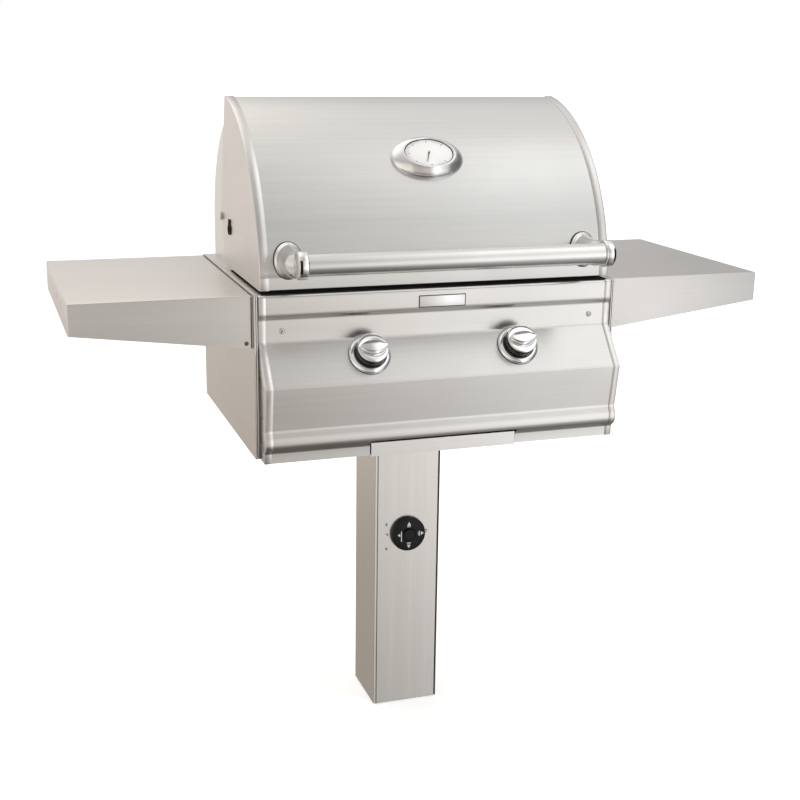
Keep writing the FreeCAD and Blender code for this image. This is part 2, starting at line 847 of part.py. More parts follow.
def make_panel():
    body = new_body("ControlPanel")
    wall = d.panel_sheet
    half = d.panel_half - d.trim_sheet
    pad(body, outline(new_sketch(body, "YZ_Plane"), panel_section(0, wall)), 2 * half, middle=True)
    # The top folds back between the side rails, under the fire box's flange.
    shelf = d.rail_inner - d.running_gap
    fold = rectangle(new_sketch(body, "XY_Plane", d.body_top - wall), -shelf, shelf, fold_front,
                     d.firebox_front - d.running_gap)
    pad(body, fold, wall)
    # The notch for the tray's face and the holes for screws and valves.
    notch = new_sketch(body, "XZ_Plane", -d.panel_flat_front)
    gap = d.tray_notch_gap
    rectangle(notch, d.tray_centre - d.tray_half - gap, d.tray_centre + d.tray_half + gap,
              d.body_bottom - past, d.tray_face_top + gap / 2)
    pocket(body, notch, reverse=True)
    screws = new_sketch(body, "XZ_Plane")
    for side in (-1, 1):
        circle(screws, side * d.panel_screw_x, d.panel_screw_height, d.panel_screw_radius + d.pin_clearance)
    pocket(body, screws, reverse=True)
    holes = [slope_rod(d.valve_neck_radius + d.pin_clearance, -past, past, side) for side in (-1, 1)]
    keep("control_panel", cut(body, *holes))

    # Polished trims wrap each end of the panel.
    trim = new_body("Trim")
    band = panel_section(d.trim_sheet, d.trim_sheet)
    pad(trim, outline(new_sketch(trim, "YZ_Plane", d.panel_half - d.trim_width), band), d.trim_width)
    # A cheek closes the outer end below the flat, whose foot is the fifth point of the front.
    nose = panel_front(d.trim_sheet)[1][4:]
    behind = d.body_front - d.running_gap
    cheek = nose + [(behind, d.body_bottom), (behind, d.panel_heel_height)]
    pad(trim, outline(new_sketch(trim, "YZ_Plane", d.panel_half - d.trim_sheet), cheek), d.trim_sheet)
    keep("panel_trim_right", trim)
    keep("panel_trim_left", mirrored(trim))

    face = d.panel_top_front
    badge_low = d.badge_centre_height - d.badge_height / 2
    keep("badge_plate", box(-d.badge_width / 2, d.badge_width / 2, face - d.badge_thickness, face,
                            badge_low, badge_low + d.badge_height))
    screws = []
    for side in (-1, 1):
        x, z, front = side * d.panel_screw_x, d.panel_screw_height, d.panel_flat_front
        head = rod_back(d.panel_screw_head, front - d.panel_screw_head_height, front, x, z)
        screws.append(fuse(head, rod_back(d.panel_screw_radius, front, front + d.panel_screw_length, x, z)))
    keep("panel_screws", group(*screws))


def slope_rod(radius, low, high, side, up=0):
    # A rod square to the sloped face, between two distances out of it, on a knob's axis.
    low, up = as_size(low), as_size(up)
    y = knob_y - low * sine(slope_tilt) + up * cosine(slope_tilt)
    z = knob_z + low * cosine(slope_tilt) + up * sine(slope_tilt)
    return rod(radius, as_size(high) - low, side * d.knob_x, y, z, (1, 0, 0), slope_tilt)


def on_slope(item, side):
    return place(item, side * d.knob_x, knob_y, knob_z, (1, 0, 0), slope_tilt)


def make_knob(side, name):
    # The bezel is cut to the fold above the slope, which its upper edge reaches past.
    ring = turned_piece("Bezel", [
        (d.bezel_inner, 0), (d.bezel_radius, 0), (d.bezel_radius, d.bezel_edge),
        (d.bezel_inner + 2 * d.bezel_bevel, d.bezel_height, d.bezel_round, -1),
        (d.bezel_inner, d.bezel_height - d.bezel_bevel)])
    x = side * d.knob_x
    reach = d.bezel_radius
    fold = box(x - reach, x + reach, d.panel_flat_front, d.panel_flat_front + past,
               d.panel_flat_low, d.panel_flat_low + past)
    keep("knob_bezel_" + name, cut(on_slope(ring, side), fold))
    low, high = d.skirt_bottom, d.skirt_bottom + d.skirt_height
    stem = d.knob_stem_radius
    hollow = d.skirt_top_radius - d.skirt_wall
    roof = high - d.skirt_wall
    skirt = turned_piece("Skirt", [
        (stem, roof), (hollow, roof), (hollow, low), (d.skirt_radius, low),
        (d.skirt_top_radius, high), (stem, high)])
    keep("knob_skirt_" + name, on_slope(skirt, side))
    # The cap has a raised rim and a lens-shaped grip across it, where two large rods meet.
    top = high + d.cap_height
    rim = d.cap_rim
    cap = on_slope(turned_piece("Cap", [
        (0, high), (d.cap_radius - d.cap_bevel, high), (d.cap_radius, high + d.cap_bevel),
        (d.cap_radius - rim, top, d.cap_round, -1), (d.cap_radius - 2 * rim, top - rim),
        (0, top - rim)]), side)
    wide = d.grip_half_width
    curve = (d.cap_radius * d.cap_radius + wide * wide) / (2 * wide)
    foot = high + d.cap_bevel
    crest = top - rim + d.grip_height
    lens = common(slope_rod(curve, foot, crest, side, curve - wide),
                  slope_rod(curve, foot, crest, side, wide - curve),
                  slope_rod(d.cap_radius - d.cap_bevel, foot, crest, side))
    neck = -d.valve_neck_length
    plug_top = neck - d.plug_depth
    plug_low = plug_top - d.plug_length
    shaft = slope_rod(stem, plug_top - d.plug_length / 2, high + d.cap_bevel, side)
    keep("knob_cap_" + name, fuse(cap, lens, shaft))
    # The plug turns with the stem, which slides in it when the knob is pushed.
    bore = stem + d.pin_clearance
    keep("valve_plug_" + name, cut(slope_rod(d.plug_radius, plug_low, plug_top, side),
                                   slope_rod(bore, plug_low - past, plug_top + past, side)))
    # The valve: its body and neck, the outlet to the burner and the stub on the manifold.
    body_foot = neck - d.valve_length
    solid = fuse(slope_rod(d.valve_radius, body_foot, neck, side),
                 slope_rod(d.valve_neck_radius, neck - d.plug_depth, d.panel_sheet, side),
                 rod_back(d.outlet_radius, valve_y + d.stub_radius, d.firebox_front + d.outlet_reach,
                          x, valve_z),
                 rod(d.stub_radius, d.manifold_offset, x, manifold_y, manifold_z, (1, 0, 0),
                     slope_tilt - 90))
    end = d.plug_end_gap
    return cut(solid,
               slope_rod(d.plug_radius + d.pin_clearance, plug_low - end, plug_top + end, side),
               slope_rod(bore, plug_top, past, side),
               rod_x(d.gas_pipe_radius, x - past, x + past, manifold_y, manifold_z))


def make_gas_train():
    keep("gas_valves", group(*[make_knob(side, name) for side, name in ((-1, "left"), (1, "right"))]))
    half, wall = d.manifold_half, d.gas_pipe_wall
    tube = cut(rod_x(d.gas_pipe_radius, -half, half, manifold_y, manifold_z),
               rod_x(d.gas_pipe_radius - wall, -half + wall, half, manifold_y, manifold_z))
    keep("manifold", tube)
    back, level = d.gas_pipe_back, d.supply_level
    stub = d.timer_stub
    pipe("gas_inlet_pipe", [(0, back, 0), (0, back, d.timer_height - stub)],
         d.gas_pipe_radius, wall, d.pipe_bend)
    pipe("gas_supply_pipe", [
        (0, back, d.timer_height + stub), (0, back, level), (d.supply_x, back, level),
        (d.supply_x, manifold_y, level), (d.supply_x, manifold_y, manifold_z),
        (d.manifold_half, manifold_y, manifold_z)], d.gas_pipe_radius, wall, d.pipe_bend)
    for side, name in ((-1, "left"), (1, "right")):
        keep("burner_" + name, make_burner(side * d.knob_x))


def make_burner(x):
    # A closed tube with slots along its top, fed through a narrower tube at the front.
    front, back = d.burner_front, d.burner_back
    radius, wall = d.burner_radius, d.burner_wall
    inlet = d.firebox_front - d.venturi_reach
    tab, thick = d.burner_tab / 2, d.burner_tab_sheet / 2
    overlap = d.burner_tab_overlap
    shell = fuse(rod_back(radius, front, back, x, valve_z),
                 rod_back(d.venturi_radius, inlet, front + wall, x, valve_z),
                 box(x - tab, x + tab, back - overlap, d.firebox_back - d.shell_sheet,
                     valve_z - thick, valve_z + thick))
    ports = []
    count = int(round(d.burner_port_count.value))
    pitch = (back - front) / count
    half = d.burner_port_width / 2
    for step in range(count):
        y = front + (step + 0.5) * pitch
        ports.append(box(x - radius, x + radius, y - half, y + half,
                         valve_z + radius - d.burner_port_depth, valve_z + radius + past))
    return cut(shell, rod_back(radius - wall, front + wall, back - overlap - wall, x, valve_z),
               rod_back(d.venturi_radius - wall, inlet - past, front + 2 * wall, x, valve_z), *ports)


def make_timer():
    front = -d.post_width / 2
    inner = front + d.post_wall
    z = d.timer_height
    neck_front = front - d.timer_neck_length
    shaft_end = inner + d.timer_shaft_depth
    solid = fuse(rod_back(d.timer_valve_radius, inner, d.gas_pipe_back, 0, z),
                 rod_back(d.timer_neck_radius, neck_front, inner + d.post_wall, 0, z),
                 rod(d.gas_pipe_radius + d.timer_sleeve, 2 * d.timer_stub, 0, d.gas_pipe_back,
                     z - d.timer_stub))
    hole = rod_back(d.timer_shaft_radius + d.pin_clearance, neck_front - past,
                    shaft_end + d.running_gap, 0, z)
    keep("timer_valve", cut(solid, hole))
    # The dial turns on its shaft; its back is hollow over the valve's neck.
    gap, edge = d.running_gap, d.timer_edge
    face = gap + d.timer_dial_depth
    crown = face + d.timer_hub_depth
    hollow = d.timer_neck_radius + d.timer_hollow_gap
    roof = d.timer_hollow_depth
    reach = front - shaft_end
    dial = turned_piece("TimerDial", [
        (0, reach), (d.timer_shaft_radius, reach), (d.timer_shaft_radius, roof), (hollow, roof),
        (hollow, gap), (d.timer_dial_radius, gap), (d.timer_dial_radius, face - edge),
        (d.timer_dial_radius - edge, face), (d.timer_hub_radius + edge / 2, face),
        (d.timer_hub_radius, face + edge / 2), (d.timer_hub_radius - edge / 2, crown), (0, crown)])
    keep("timer_knob", place(dial, 0, front, z, (1, 0, 0), 90))


def make_grids():
    inner = d.shell_half - d.shell_sheet
    front = d.firebox_front + d.shell_sheet + d.running_gap
    back = d.firebox_back - d.shell_sheet - d.running_gap
    width = inner - d.grid_gap / 2 - d.running_gap
    for side, name in ((-1, "left"), (1, "right")):
        near = d.grid_gap / 2 if side > 0 else -d.grid_gap / 2 - width
        grid = new_body("CookingGrid")
        bars = new_sketch(grid, "XZ_Plane", -back)
        count = int(round(d.grid_bar_count.value))
        pitch = (width - d.grid_bar_width) / (count - 1)
        half, low, high = d.grid_bar_width / 2, d.grid_ledge_height, d.grid_bar_height
        for step in range(count):
            x = near + half + step * pitch
            outline(bars, [(x - half / 2, low), (x + half / 2, low), (x + half, low + 0.5 * high),
                           (x + half / 2, low + high), (x - half / 2, low + high),
                           (x - half, low + 0.5 * high)])
        pad(grid, bars, back - front)
        ties = new_sketch(grid, "XY_Plane", d.grid_ledge_height)
        tie = d.grid_tie_width / 2
        for y in (front + 2 * d.ledge_width, back - 2 * d.ledge_width):
            rectangle(ties, near + half / 2, near + width - half / 2, y - tie, y + tie)
        pad(grid, ties, d.grid_bar_height / 2)
        keep("cooking_grid_" + name, grid)

        # Folded sheet whose ridges spread the heat of the burner below.
        flavor = new_body("FlavorGrid")
        waves = new_sketch(flavor, "XZ_Plane", -back)
        peaks = int(round(d.flavor_peaks.value))
        low, high = d.flavor_ledge_height, d.flavor_ledge_height + d.flavor_rise
        step = width / (2 * peaks)
        top = []
        bottom = []
        for index in range(2 * peaks + 1):
            x = near + index * step
            z = high if index % 2 else low
            bottom.append((x, z))
            top.append((x, z + d.flavor_sheet * 2))
        outline(waves, bottom + top[::-1])
        pad(flavor, waves, back - front)
        keep("flavor_grid_" + name, flavor)

    # The warming rack's rods reach from one side of the cowl to the other.
    reach = inner
    rods = []
    count = int(round(d.rack_rod_count.value))
    pitch = (d.rack_back - d.rack_front) / (count - 1)
    for step in range(count):
        rods.append(rod(d.rack_rod_radius, 2 * reach, reach, d.rack_front + step * pitch, d.rack_height,
                        (0, 1, 0), -90))
    ends = 2 * d.rack_rod_radius
    for x in (-d.rack_tie_x, d.rack_tie_x):
        rods.append(rod_back(d.rack_rod_radius, d.rack_front - ends, d.rack_back + ends, x,
                             d.rack_height - d.rack_tie_drop))
    keep("warming_rack", fuse(*rods))


def make_tray():
    centre, wall = d.tray_centre, d.sheet
    left, right = centre - d.tray_pan_half, centre + d.tray_pan_half
    front = d.tray_front + wall
    pan = box(left, right, front, d.tray_back, d.tray_pan_bottom, d.tray_top)
    space = box(left + wall, right - wall, front + wall, d.tray_back - wall,
                d.tray_pan_bottom + wall, d.tray_top + past)
    wing = d.tray_half - d.tray_wing_inset
    wings = [box(centre - wing, left + wall, front, d.tray_back, d.tray_top - wall, d.tray_top),
             box(right - wall, centre + wing, front, d.tray_back, d.tray_top - wall, d.tray_top)]
    face = box(centre - d.tray_half, centre + d.tray_half, d.tray_front, front,
               d.tray_face_bottom, d.tray_face_top)
    keep("drip_tray", fuse(cut(pan, space), face, *wings))
    # The rails stand on the floor and carry the tray's wings.
    rails = []
    rail_top = d.tray_top - wall - d.tray_gap
    for side in (-1, 1):
        web = centre + side * (d.tray_pan_half + d.tray_gap + wall / 2)
        outer = centre + side * (wing - wall)
        low, high = (outer, web) if side < 0 else (web, outer)
        rails.append(fuse(
            box(web - wall / 2, web + wall / 2, rail_front, d.tray_back, floor_top, rail_top),
            box(low, high, rail_front, d.tray_back, rail_top - wall, rail_top)))
    keep("tray_rails", group(*rails))


def make_shelves():
    body = new_body("Shelf")
    top, outer, inner = d.body_top, d.shelf_outer, shelf_inner
    corner = d.shelf_pivot_out - d.shelf_gap
    low_outer = top - d.shelf_outer_depth
    side = new_sketch(body, "XZ_Plane", -d.shelf_back)
    outline(side, [(inner, top), (inner, shelf_pivot_z), (shelf_pivot_x, shelf_pivot_z - corner, corner, -1),
                   (outer, low_outer), (outer, top)])
    pad(body, side, d.shelf_back - d.shelf_front)
    space = new_sketch(body, "XZ_Plane", -d.shelf_back + d.sheet)
    rectangle(space, inner - past, outer - d.sheet, top - 2 * d.shelf_inner_depth, top - d.sheet)
    pocket(body, space, d.shelf_back - d.shelf_front - 2 * d.sheet, reverse=True)
    # Lips return under the two long flanges and the outer end.
    start = shelf_pivot_x + 2 * corner
    fall = (low_outer - shelf_pivot_z + corner) / (outer - shelf_pivot_x)
    low_start = shelf_pivot_z - corner + (start - shelf_pivot_x) * fall
    for edge, depth in ((d.shelf_back, d.shelf_lip), (d.shelf_front + d.shelf_lip, d.shelf_lip)):
        lip = new_sketch(body, "XZ_Plane", -edge)
        outline(lip, [(start, low_start), (outer, low_outer), (outer, low_outer + d.sheet),
                      (start, low_start + d.sheet)])
        pad(body, lip, depth)
    end = new_sketch(body, "XZ_Plane", -d.shelf_back)
    rectangle(end, outer - d.shelf_lip, outer, low_outer, low_outer + d.sheet)
    pad(body, end, d.shelf_back - d.shelf_front)
    slots = new_sketch(body, "YZ_Plane", outer)
    count = int(round(d.shelf_slot_count.value))
    middle = top - d.shelf_slot_drop
    for step in range(count):
        y = d.shelf_slot_back - step * d.shelf_slot_pitch
        rectangle(slots, y - d.shelf_slot_width / 2, y + d.shelf_slot_width / 2,
                  middle - d.shelf_slot_height / 2, middle + d.shelf_slot_height / 2)
    pocket(body, slots, 4 * d.sheet, middle=True)
    holes = new_sketch(body, "XZ_Plane")
    circle(holes, shelf_pivot_x, shelf_pivot_z, d.shelf_pin_radius + d.pin_clearance)
    pocket(body, holes, d.shelf_back - d.shelf_front + past, middle=True)
    keep("shelf_right", body)
    keep("shelf_left", mirrored(body))

    # A bracket on the body's side: a plate under the shelf's top, with an ear at each end.
    bracket = new_body("Bracket")
    reach = corner - d.running_gap
    front = d.shelf_front + d.sheet + d.running_gap
    back = d.shelf_back - d.sheet - d.running_gap
    plate_top = top - d.sheet - 3 * d.running_gap
    plate = new_sketch(bracket, "XZ_Plane", -back)
    rectangle(plate, d.body_half, d.body_half + d.bracket_sheet, shelf_pivot_z - reach, plate_top)
    pad(bracket, plate, back - front)
    for edge in (back, front + d.bracket_sheet):
        ear = new_sketch(bracket, "XZ_Plane", -edge)
        outline(ear, [(d.body_half, shelf_pivot_z - reach), (shelf_pivot_x, shelf_pivot_z - reach),
                      (shelf_pivot_x + reach, shelf_pivot_z, reach, -1),
                      (shelf_pivot_x, shelf_pivot_z + reach, reach, -1), (d.body_half, plate_top)])
        pad(bracket, ear, d.bracket_sheet)
    holes = new_sketch(bracket, "XZ_Plane")
    circle(holes, shelf_pivot_x, shelf_pivot_z, d.shelf_pin_radius + d.pin_clearance)
    pocket(bracket, holes, d.shelf_back - d.shelf_front + past, middle=True)
    keep("shelf_brackets", group(bracket, mirrored(bracket)))
    pins = []
    depth = d.sheet + d.running_gap + 2 * d.bracket_sheet
    for side in (-1, 1):
        for low in (d.shelf_front, d.shelf_back - depth):
            pins.append(rod_back(d.shelf_pin_radius, low, low + depth, side * shelf_pivot_x, shelf_pivot_z))
    keep("shelf_pins", group(*pins))


def arc_height(radius, y):
    # The height of the hood's arc of that radius above a point y.
    away = y - d.hood_centre_back
    return d.hood_centre_height + root(radius * radius - away * away)


def hood_front(radius):
    # The front of the hood's section in (y, z), from its bottom to its top back edge.
    fold = d.hood_bottom + d.hood_lip_height
    ease = fold + d.lip_ease
    rise = ease - d.hood_centre_height
    front = d.hood_centre_back - root(radius * radius - rise * rise)
    step = front - d.hood_lip_step
    return [(step, d.hood_bottom), (step, fold), (front, ease)]


def make_hood():
    radius, wall = d.hood_radius, d.sheet
    back = d.hood_top_back
    ear_back = d.hood_pivot_back + d.hood_ear_radius
    lean = (ear_back - back) / (arc_height(radius, back) - d.hood_pivot_height)
    outer = hood_front(radius)
    inner = hood_front(radius - wall)
    top, top_in = arc_height(radius, back), arc_height(radius - wall, back - wall)
    low = top - d.hood_rear_drop
    shift = d.hood_rear_drop * lean
    fold = outer[0][0] + d.hood_lip_fold
    skin = new_body("HoodSkin")
    section = [(fold, d.hood_bottom)] + outer + [(back, top, radius, 1), (back + shift, low),
                                                 (back + shift - wall, low), (back - wall, top_in)]
    section += [(inner[2][0], inner[2][1], radius - wall, -1), inner[1]]
    section += [(inner[0][0], d.hood_bottom + wall), (fold, d.hood_bottom + wall)]
    pad(skin, outline(new_sketch(skin, "YZ_Plane"), section), 2 * side_inner, middle=True)
    probe = hood_rod(d.probe_radius + d.pin_clearance, -past, past, 0, d.dial_angle)
    bolts = [hood_rod(d.handle_bolt_radius + d.pin_clearance, -past, past, side * ring_x, d.handle_angle)
             for side in (-1, 1)]
    keep("hood_skin", cut(skin, probe, *bolts))

    side = new_body("HoodSide")
    plate = [(d.hood_foot_back, d.hood_bottom)] + outer + [
        (back, top, radius, 1), (ear_back, d.hood_pivot_height),
        (d.hood_pivot_back, d.hood_pivot_height - d.hood_ear_radius, d.hood_ear_radius, 1)]
    pad(side, outline(new_sketch(side, "YZ_Plane", side_inner), plate), wall)
    flange = new_sketch(side, "XY_Plane", d.hood_bottom)
    rectangle(flange, side_inner - d.hood_lip_fold, side_inner + wall / 2, fold + d.running_gap,
              d.cowl_front - d.rest_inset)
    pad(side, flange, wall)
    holes = new_sketch(side, "YZ_Plane", d.hood_half)
    circle(holes, d.hood_pivot_back, d.hood_pivot_height, d.pivot_bolt_radius + d.pin_clearance)
    y, slim, wide = d.keyhole_back, d.keyhole_slot_radius, d.keyhole_radius
    high, foot = d.keyhole_top, d.keyhole_bottom
    outline(holes, [(y - slim, high), (y - slim, foot + 2.5 * wide), (y - wide, foot + 1.5 * wide),
                    (y - wide, foot + 0.5 * wide), (y - 0.4 * wide, foot), (y + 0.4 * wide, foot),
                    (y + wide, foot + 0.5 * wide), (y + wide, foot + 1.5 * wide),
                    (y + slim, foot + 2.5 * wide), (y + slim, high)])
    pocket(side, holes, 4 * wall, middle=True)
    keep("hood_side_right", side)
    keep("hood_side_left", mirrored(side))

    band = new_body("HoodBand")
    cover = hood_front(radius + wall)
    strip = cover + [(back, arc_height(radius + wall, back), radius + wall, 1), (back, top)]
    strip += [(outer[2][0], outer[2][1], radius, -1), outer[1], outer[0]]
    pad(band, outline(new_sketch(band, "YZ_Plane", d.hood_half - d.hood_band_width), strip),
        d.hood_band_width)
    keep("hood_band_right", band)
    keep("hood_band_left", mirrored(band))


def hood_rod(radius, low, high, x, angle):
    # A rod square to the hood's arc at that angle, between two distances out of its skin.
    return on_hood(rod(radius, as_size(high) - low, 0, 0, 0), x, angle, low)


def on_hood(item, x, angle, height):
    # Stands a piece square to the hood's arc at that angle, at a height out of its skin.
    reach = d.hood_radius + height
    y = d.hood_centre_back - reach * cosine(angle)
    z = d.hood_centre_height + reach * sine(angle)
    return place(item, x, y, z, (1, 0, 0), 90 - angle)


def hood_oval(long, short, height, angle):
    item = doc.addObject("Part::Ellipse", "Oval")
    bind(item, MajorRadius=long, MinorRadius=short)
    return on_hood(item, 0, angle, height)


def foot_oval(wide, tall, up, height):
    # An oval section of the handle's foot, before the foot is stood on the hood.
    item = doc.addObject("Part::Ellipse", "Oval")
    bind(item, MajorRadius=tall, MinorRadius=wide)
    return place(item, 0, up, height, (0, 0, 1), 90)


def loft(*sections):
    item = doc.addObject("Part::Loft", "Loft")
    item.Sections = list(sections)
    item.Solid = True
    return item


def hood_block():
    # The space inside the hood's skin, which what stands on the hood is cut to.
    body = new_body("HoodSpace")
    section = hood_front(d.hood_radius)
    back = d.hood_top_back
    section += [(back, arc_height(d.hood_radius, back), d.hood_radius, 1), (back, d.hood_bottom)]
    pad(body, outline(new_sketch(body, "YZ_Plane"), section), 2 * d.hood_half, middle=True)
    return body


ring_x = d.handle_half + d.ring_width / 2


def make_handle():
    angle = d.handle_angle
    reach = d.hood_radius + d.handle_standoff
    y = d.hood_centre_back - reach * cosine(angle)
    z = d.hood_centre_height + reach * sine(angle)
    end = d.handle_half + d.ring_bore
    keep("handle_tube", cut(rod_x(d.handle_radius, -end, end, y, z),
                            rod_x(d.handle_radius - d.handle_wall, -end - past, end + past, y, z)))
    bolts = []
    rim, sunk = d.handle_foot_rim, -d.handle_foot_sunk
    tip = d.handle_standoff - d.ring_radius + d.handle_foot_overlap
    under = -d.sheet - d.pin_clearance
    wide, tall, up, step = d.handle_foot_wide, d.handle_foot_tall, d.handle_foot_up, d.handle_foot_step
    for side, name in ((-1, "left"), (1, "right")):
        x = side * ring_x
        # The foot narrows from an oval flange on the hood to the ring.
        flange = loft(foot_oval(wide, tall, up, sunk), foot_oval(wide, tall, up, rim))
        shoulder = loft(foot_oval(wide, tall, up, rim), foot_oval(wide - step, tall - step, up, rim + step))
        neck = loft(foot_oval(wide - step, tall - step, up, rim + step),
                    foot_oval(d.handle_waist_wide, d.handle_waist_tall, up / 2, tip / 2),
                    foot_oval(d.ring_width / 2 - d.handle_foot_inset, d.handle_foot_tip, 0, tip))
        foot = on_hood(group(fuse(flange, shoulder, neck)), x, angle, 0)
        low, high = side * d.handle_half, side * (d.handle_half + d.ring_width)
        start = low if side > 0 else high
        ring = rod_x(d.ring_radius, start, start + d.ring_width, y, z)
        bore_start = low if side > 0 else low - d.ring_bore
        bore = rod_x(d.handle_radius, bore_start, bore_start + d.ring_bore, y, z)
        slot_x = high - side * d.ring_slot_depth / 2
        slot = box(slot_x - d.ring_slot_depth, slot_x + d.ring_slot_depth,
                   y - d.ring_slot_width / 2, y + d.ring_slot_width / 2,
                   z - d.ring_slot_height / 2, z + d.ring_slot_height / 2)
        hole = hood_rod(d.handle_bolt_radius, under, d.handle_bolt_length, x, angle)
        keep("handle_bracket_" + name,
             cut(fuse(foot, ring), hood_block(), bore, slot, hole))
        head = under - d.handle_bolt_head
        bolts.append(fuse(hood_rod(d.handle_bolt_radius, head, d.handle_bolt_length, x, angle),
                          hood_rod(2 * d.handle_bolt_radius, head, under, x, angle)))
    keep("handle_bolts", group(*bolts))


def make_thermometer():
    angle = d.dial_angle
    long, short, rise = d.bezel_half_long, d.bezel_half_short, d.dial_rise
    dial_low = rise - d.dial_recess
    gap = d.pin_clearance
    inset, rim = d.bezel_shoulder_inset, d.bezel_rim_width
    dome = loft(hood_oval(long, short, -d.bezel_sunk, angle),
                hood_oval(long, short, d.bezel_edge_rise, angle),
                hood_oval(long - inset, short - inset, d.bezel_shoulder_rise, angle),
                hood_oval(d.dial_half_long + rim, d.dial_half_short + rim, rise, angle))
    well = extruded(hood_oval(d.dial_half_long + gap, d.dial_half_short + gap, dial_low, angle), past)
    bore = hood_rod(d.probe_radius + gap, -past, dial_low + past, 0, angle)
    keep("thermometer_bezel", cut(dome, hood_block(), well, bore))
    plate = extruded(hood_oval(d.dial_half_long, d.dial_half_short, dial_low, angle), d.dial_sheet)
    face = dial_low + d.dial_sheet
    probe = hood_rod(d.probe_radius, -d.probe_length, face, 0, angle)
    post = hood_rod(d.needle_post_radius, dial_low, face + d.needle_post_height, 0, angle)
    keep("thermometer_dial", fuse(plate, probe, post))
    # The needle points down and to the left on the dial.
    needle = new_body("Needle")
    half, end, tail = d.needle_width / 2, d.needle_tip_width / 2, d.needle_tail
    pad(needle, outline(new_sketch(needle, "XY_Plane"), [
        (-half, 0), (-end, -d.needle_length), (end, -d.needle_length), (half, 0), (half, tail),
        (-half, tail)]), d.needle_sheet)
    pad(needle, circle(new_sketch(needle, "XY_Plane"), 0, 0, d.needle_hub_radius), d.needle_hub_height)
    pocket(needle, circle(new_sketch(needle, "XY_Plane"), 0, 0, d.needle_post_radius + gap),
           reverse=True)
    place(needle, 0, 0, 0, (0, 0, 1), -d.needle_angle)
    keep("thermometer_needle", on_hood(group(needle), 0, angle, face + d.needle_lift))


def extruded(profile, depth):
    # A plate on a flat outline that stands on the hood, growing outwards.
    item = doc.addObject("Part::Extrusion", "Plate")
    item.Base = profile
    item.DirMode = "Normal"
    item.Reversed = True
    item.Solid = True
    bind(item, LengthFwd=depth)
    return item


make_post()
make_body()
make_firebox()
make_cowl()
make_panel()
make_gas_train()
make_timer()
make_grids()
make_tray()
make_shelves()
make_hood()
make_handle()
make_thermometer()
doc.recompute()

failed = [item.Name for item in doc.Objects if "Invalid" in item.State or "Error" in item.State]
if failed:
    raise RuntimeError("did not build: " + ", ".join(failed))
os.makedirs("parts", exist_ok=True)
for item in parts:
    if item.Shape.isNull() or not item.Shape.isValid() or not item.Shape.Solids:
        raise RuntimeError("%s has no valid solid" % item.Label)
    item.Shape.exportStep("parts/%s.step" % item.Label)
    print("%-24s %d solids %12.0f mm3" % (item.Label, len(item.Shape.Solids), item.Shape.Volume))
print(len(parts), "nodes")
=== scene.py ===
from math import acos, asin, cos, pi, radians, sin, sqrt

import bmesh
import bpy
from mathutils import Matrix, Vector


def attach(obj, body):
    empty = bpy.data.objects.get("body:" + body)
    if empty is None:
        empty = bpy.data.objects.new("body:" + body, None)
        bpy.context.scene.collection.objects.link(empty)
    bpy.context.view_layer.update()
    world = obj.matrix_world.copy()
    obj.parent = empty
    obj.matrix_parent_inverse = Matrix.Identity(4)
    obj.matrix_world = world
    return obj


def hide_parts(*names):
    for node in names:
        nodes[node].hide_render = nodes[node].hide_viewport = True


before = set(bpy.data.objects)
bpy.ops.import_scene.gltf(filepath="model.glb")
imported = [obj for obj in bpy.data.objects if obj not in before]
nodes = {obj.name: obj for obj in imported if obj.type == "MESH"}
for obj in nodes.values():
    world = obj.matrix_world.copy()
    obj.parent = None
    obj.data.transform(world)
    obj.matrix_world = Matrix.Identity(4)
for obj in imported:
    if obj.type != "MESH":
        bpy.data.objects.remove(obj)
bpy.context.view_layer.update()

scene = bpy.context.scene
scene.view_settings.view_transform = "Standard"
mm = 0.001  # the sizes below are in millimetres, as on the drawings
weldWithin = 0.00001  # corners closer than this become one


def deselectAll():
    if bpy.context.object and bpy.context.object.mode != "OBJECT":
        bpy.ops.object.mode_set(mode="OBJECT")
    bpy.ops.object.select_all(action="DESELECT")


def makeActive(piece):
    deselectAll()
    piece.select_set(True)
    bpy.context.view_layer.objects.active = piece


def settle(piece):
    # leaves the place, turn and scale of a piece in its mesh
    makeActive(piece)
    bpy.ops.object.transform_apply(location=True, rotation=True, scale=True)
    return piece


def nameIt(name):
    # names the primitive that was just added
    piece = bpy.context.object
    piece.name = name
    piece.data.name = name
    return settle(piece)


def edit(piece):
    makeActive(piece)
    bpy.ops.object.mode_set(mode="EDIT")


def leaveEdit():
    bpy.ops.object.mode_set(mode="OBJECT")


def pick(kind, test):
    # selects the corners by place, the edges by their two ends, or the faces by middle and normal
    bpy.ops.mesh.select_mode(type=kind)
    bpy.ops.mesh.select_all(action="DESELECT")
    mesh = bmesh.from_edit_mesh(bpy.context.object.data)
    found = 0
    if kind == "VERT":
        for corner in mesh.verts:
            if test(corner.co / mm):
                corner.select_set(True)
                found += 1
    elif kind == "EDGE":
        for edge in mesh.edges:
            if test(edge.verts[0].co / mm, edge.verts[1].co / mm):
                edge.select_set(True)
                found += 1
    else:
        for face in mesh.faces:
            if test(face.calc_center_median() / mm, face.normal):
                face.select_set(True)
                found += 1
    mesh.select_flush_mode()
    bmesh.update_edit_mesh(bpy.context.object.data)
    return found


def pickAll(kind="VERT"):
    bpy.ops.mesh.select_mode(type=kind)
    bpy.ops.mesh.select_all(action="SELECT")


def extrudeBy(x, y, z):
    bpy.ops.mesh.extrude_region_move(TRANSFORM_OT_translate={"value": (x * mm, y * mm, z * mm)})


def scaleBy(x, y, z, centre=(0, 0, 0)):
    bpy.ops.transform.resize(value=(x, y, z), center_override=Vector(centre) * mm)


def closeUp(inside=False):
    pickAll()
    bpy.ops.mesh.remove_doubles(threshold=weldWithin)
    bpy.ops.mesh.normals_make_consistent(inside=inside)


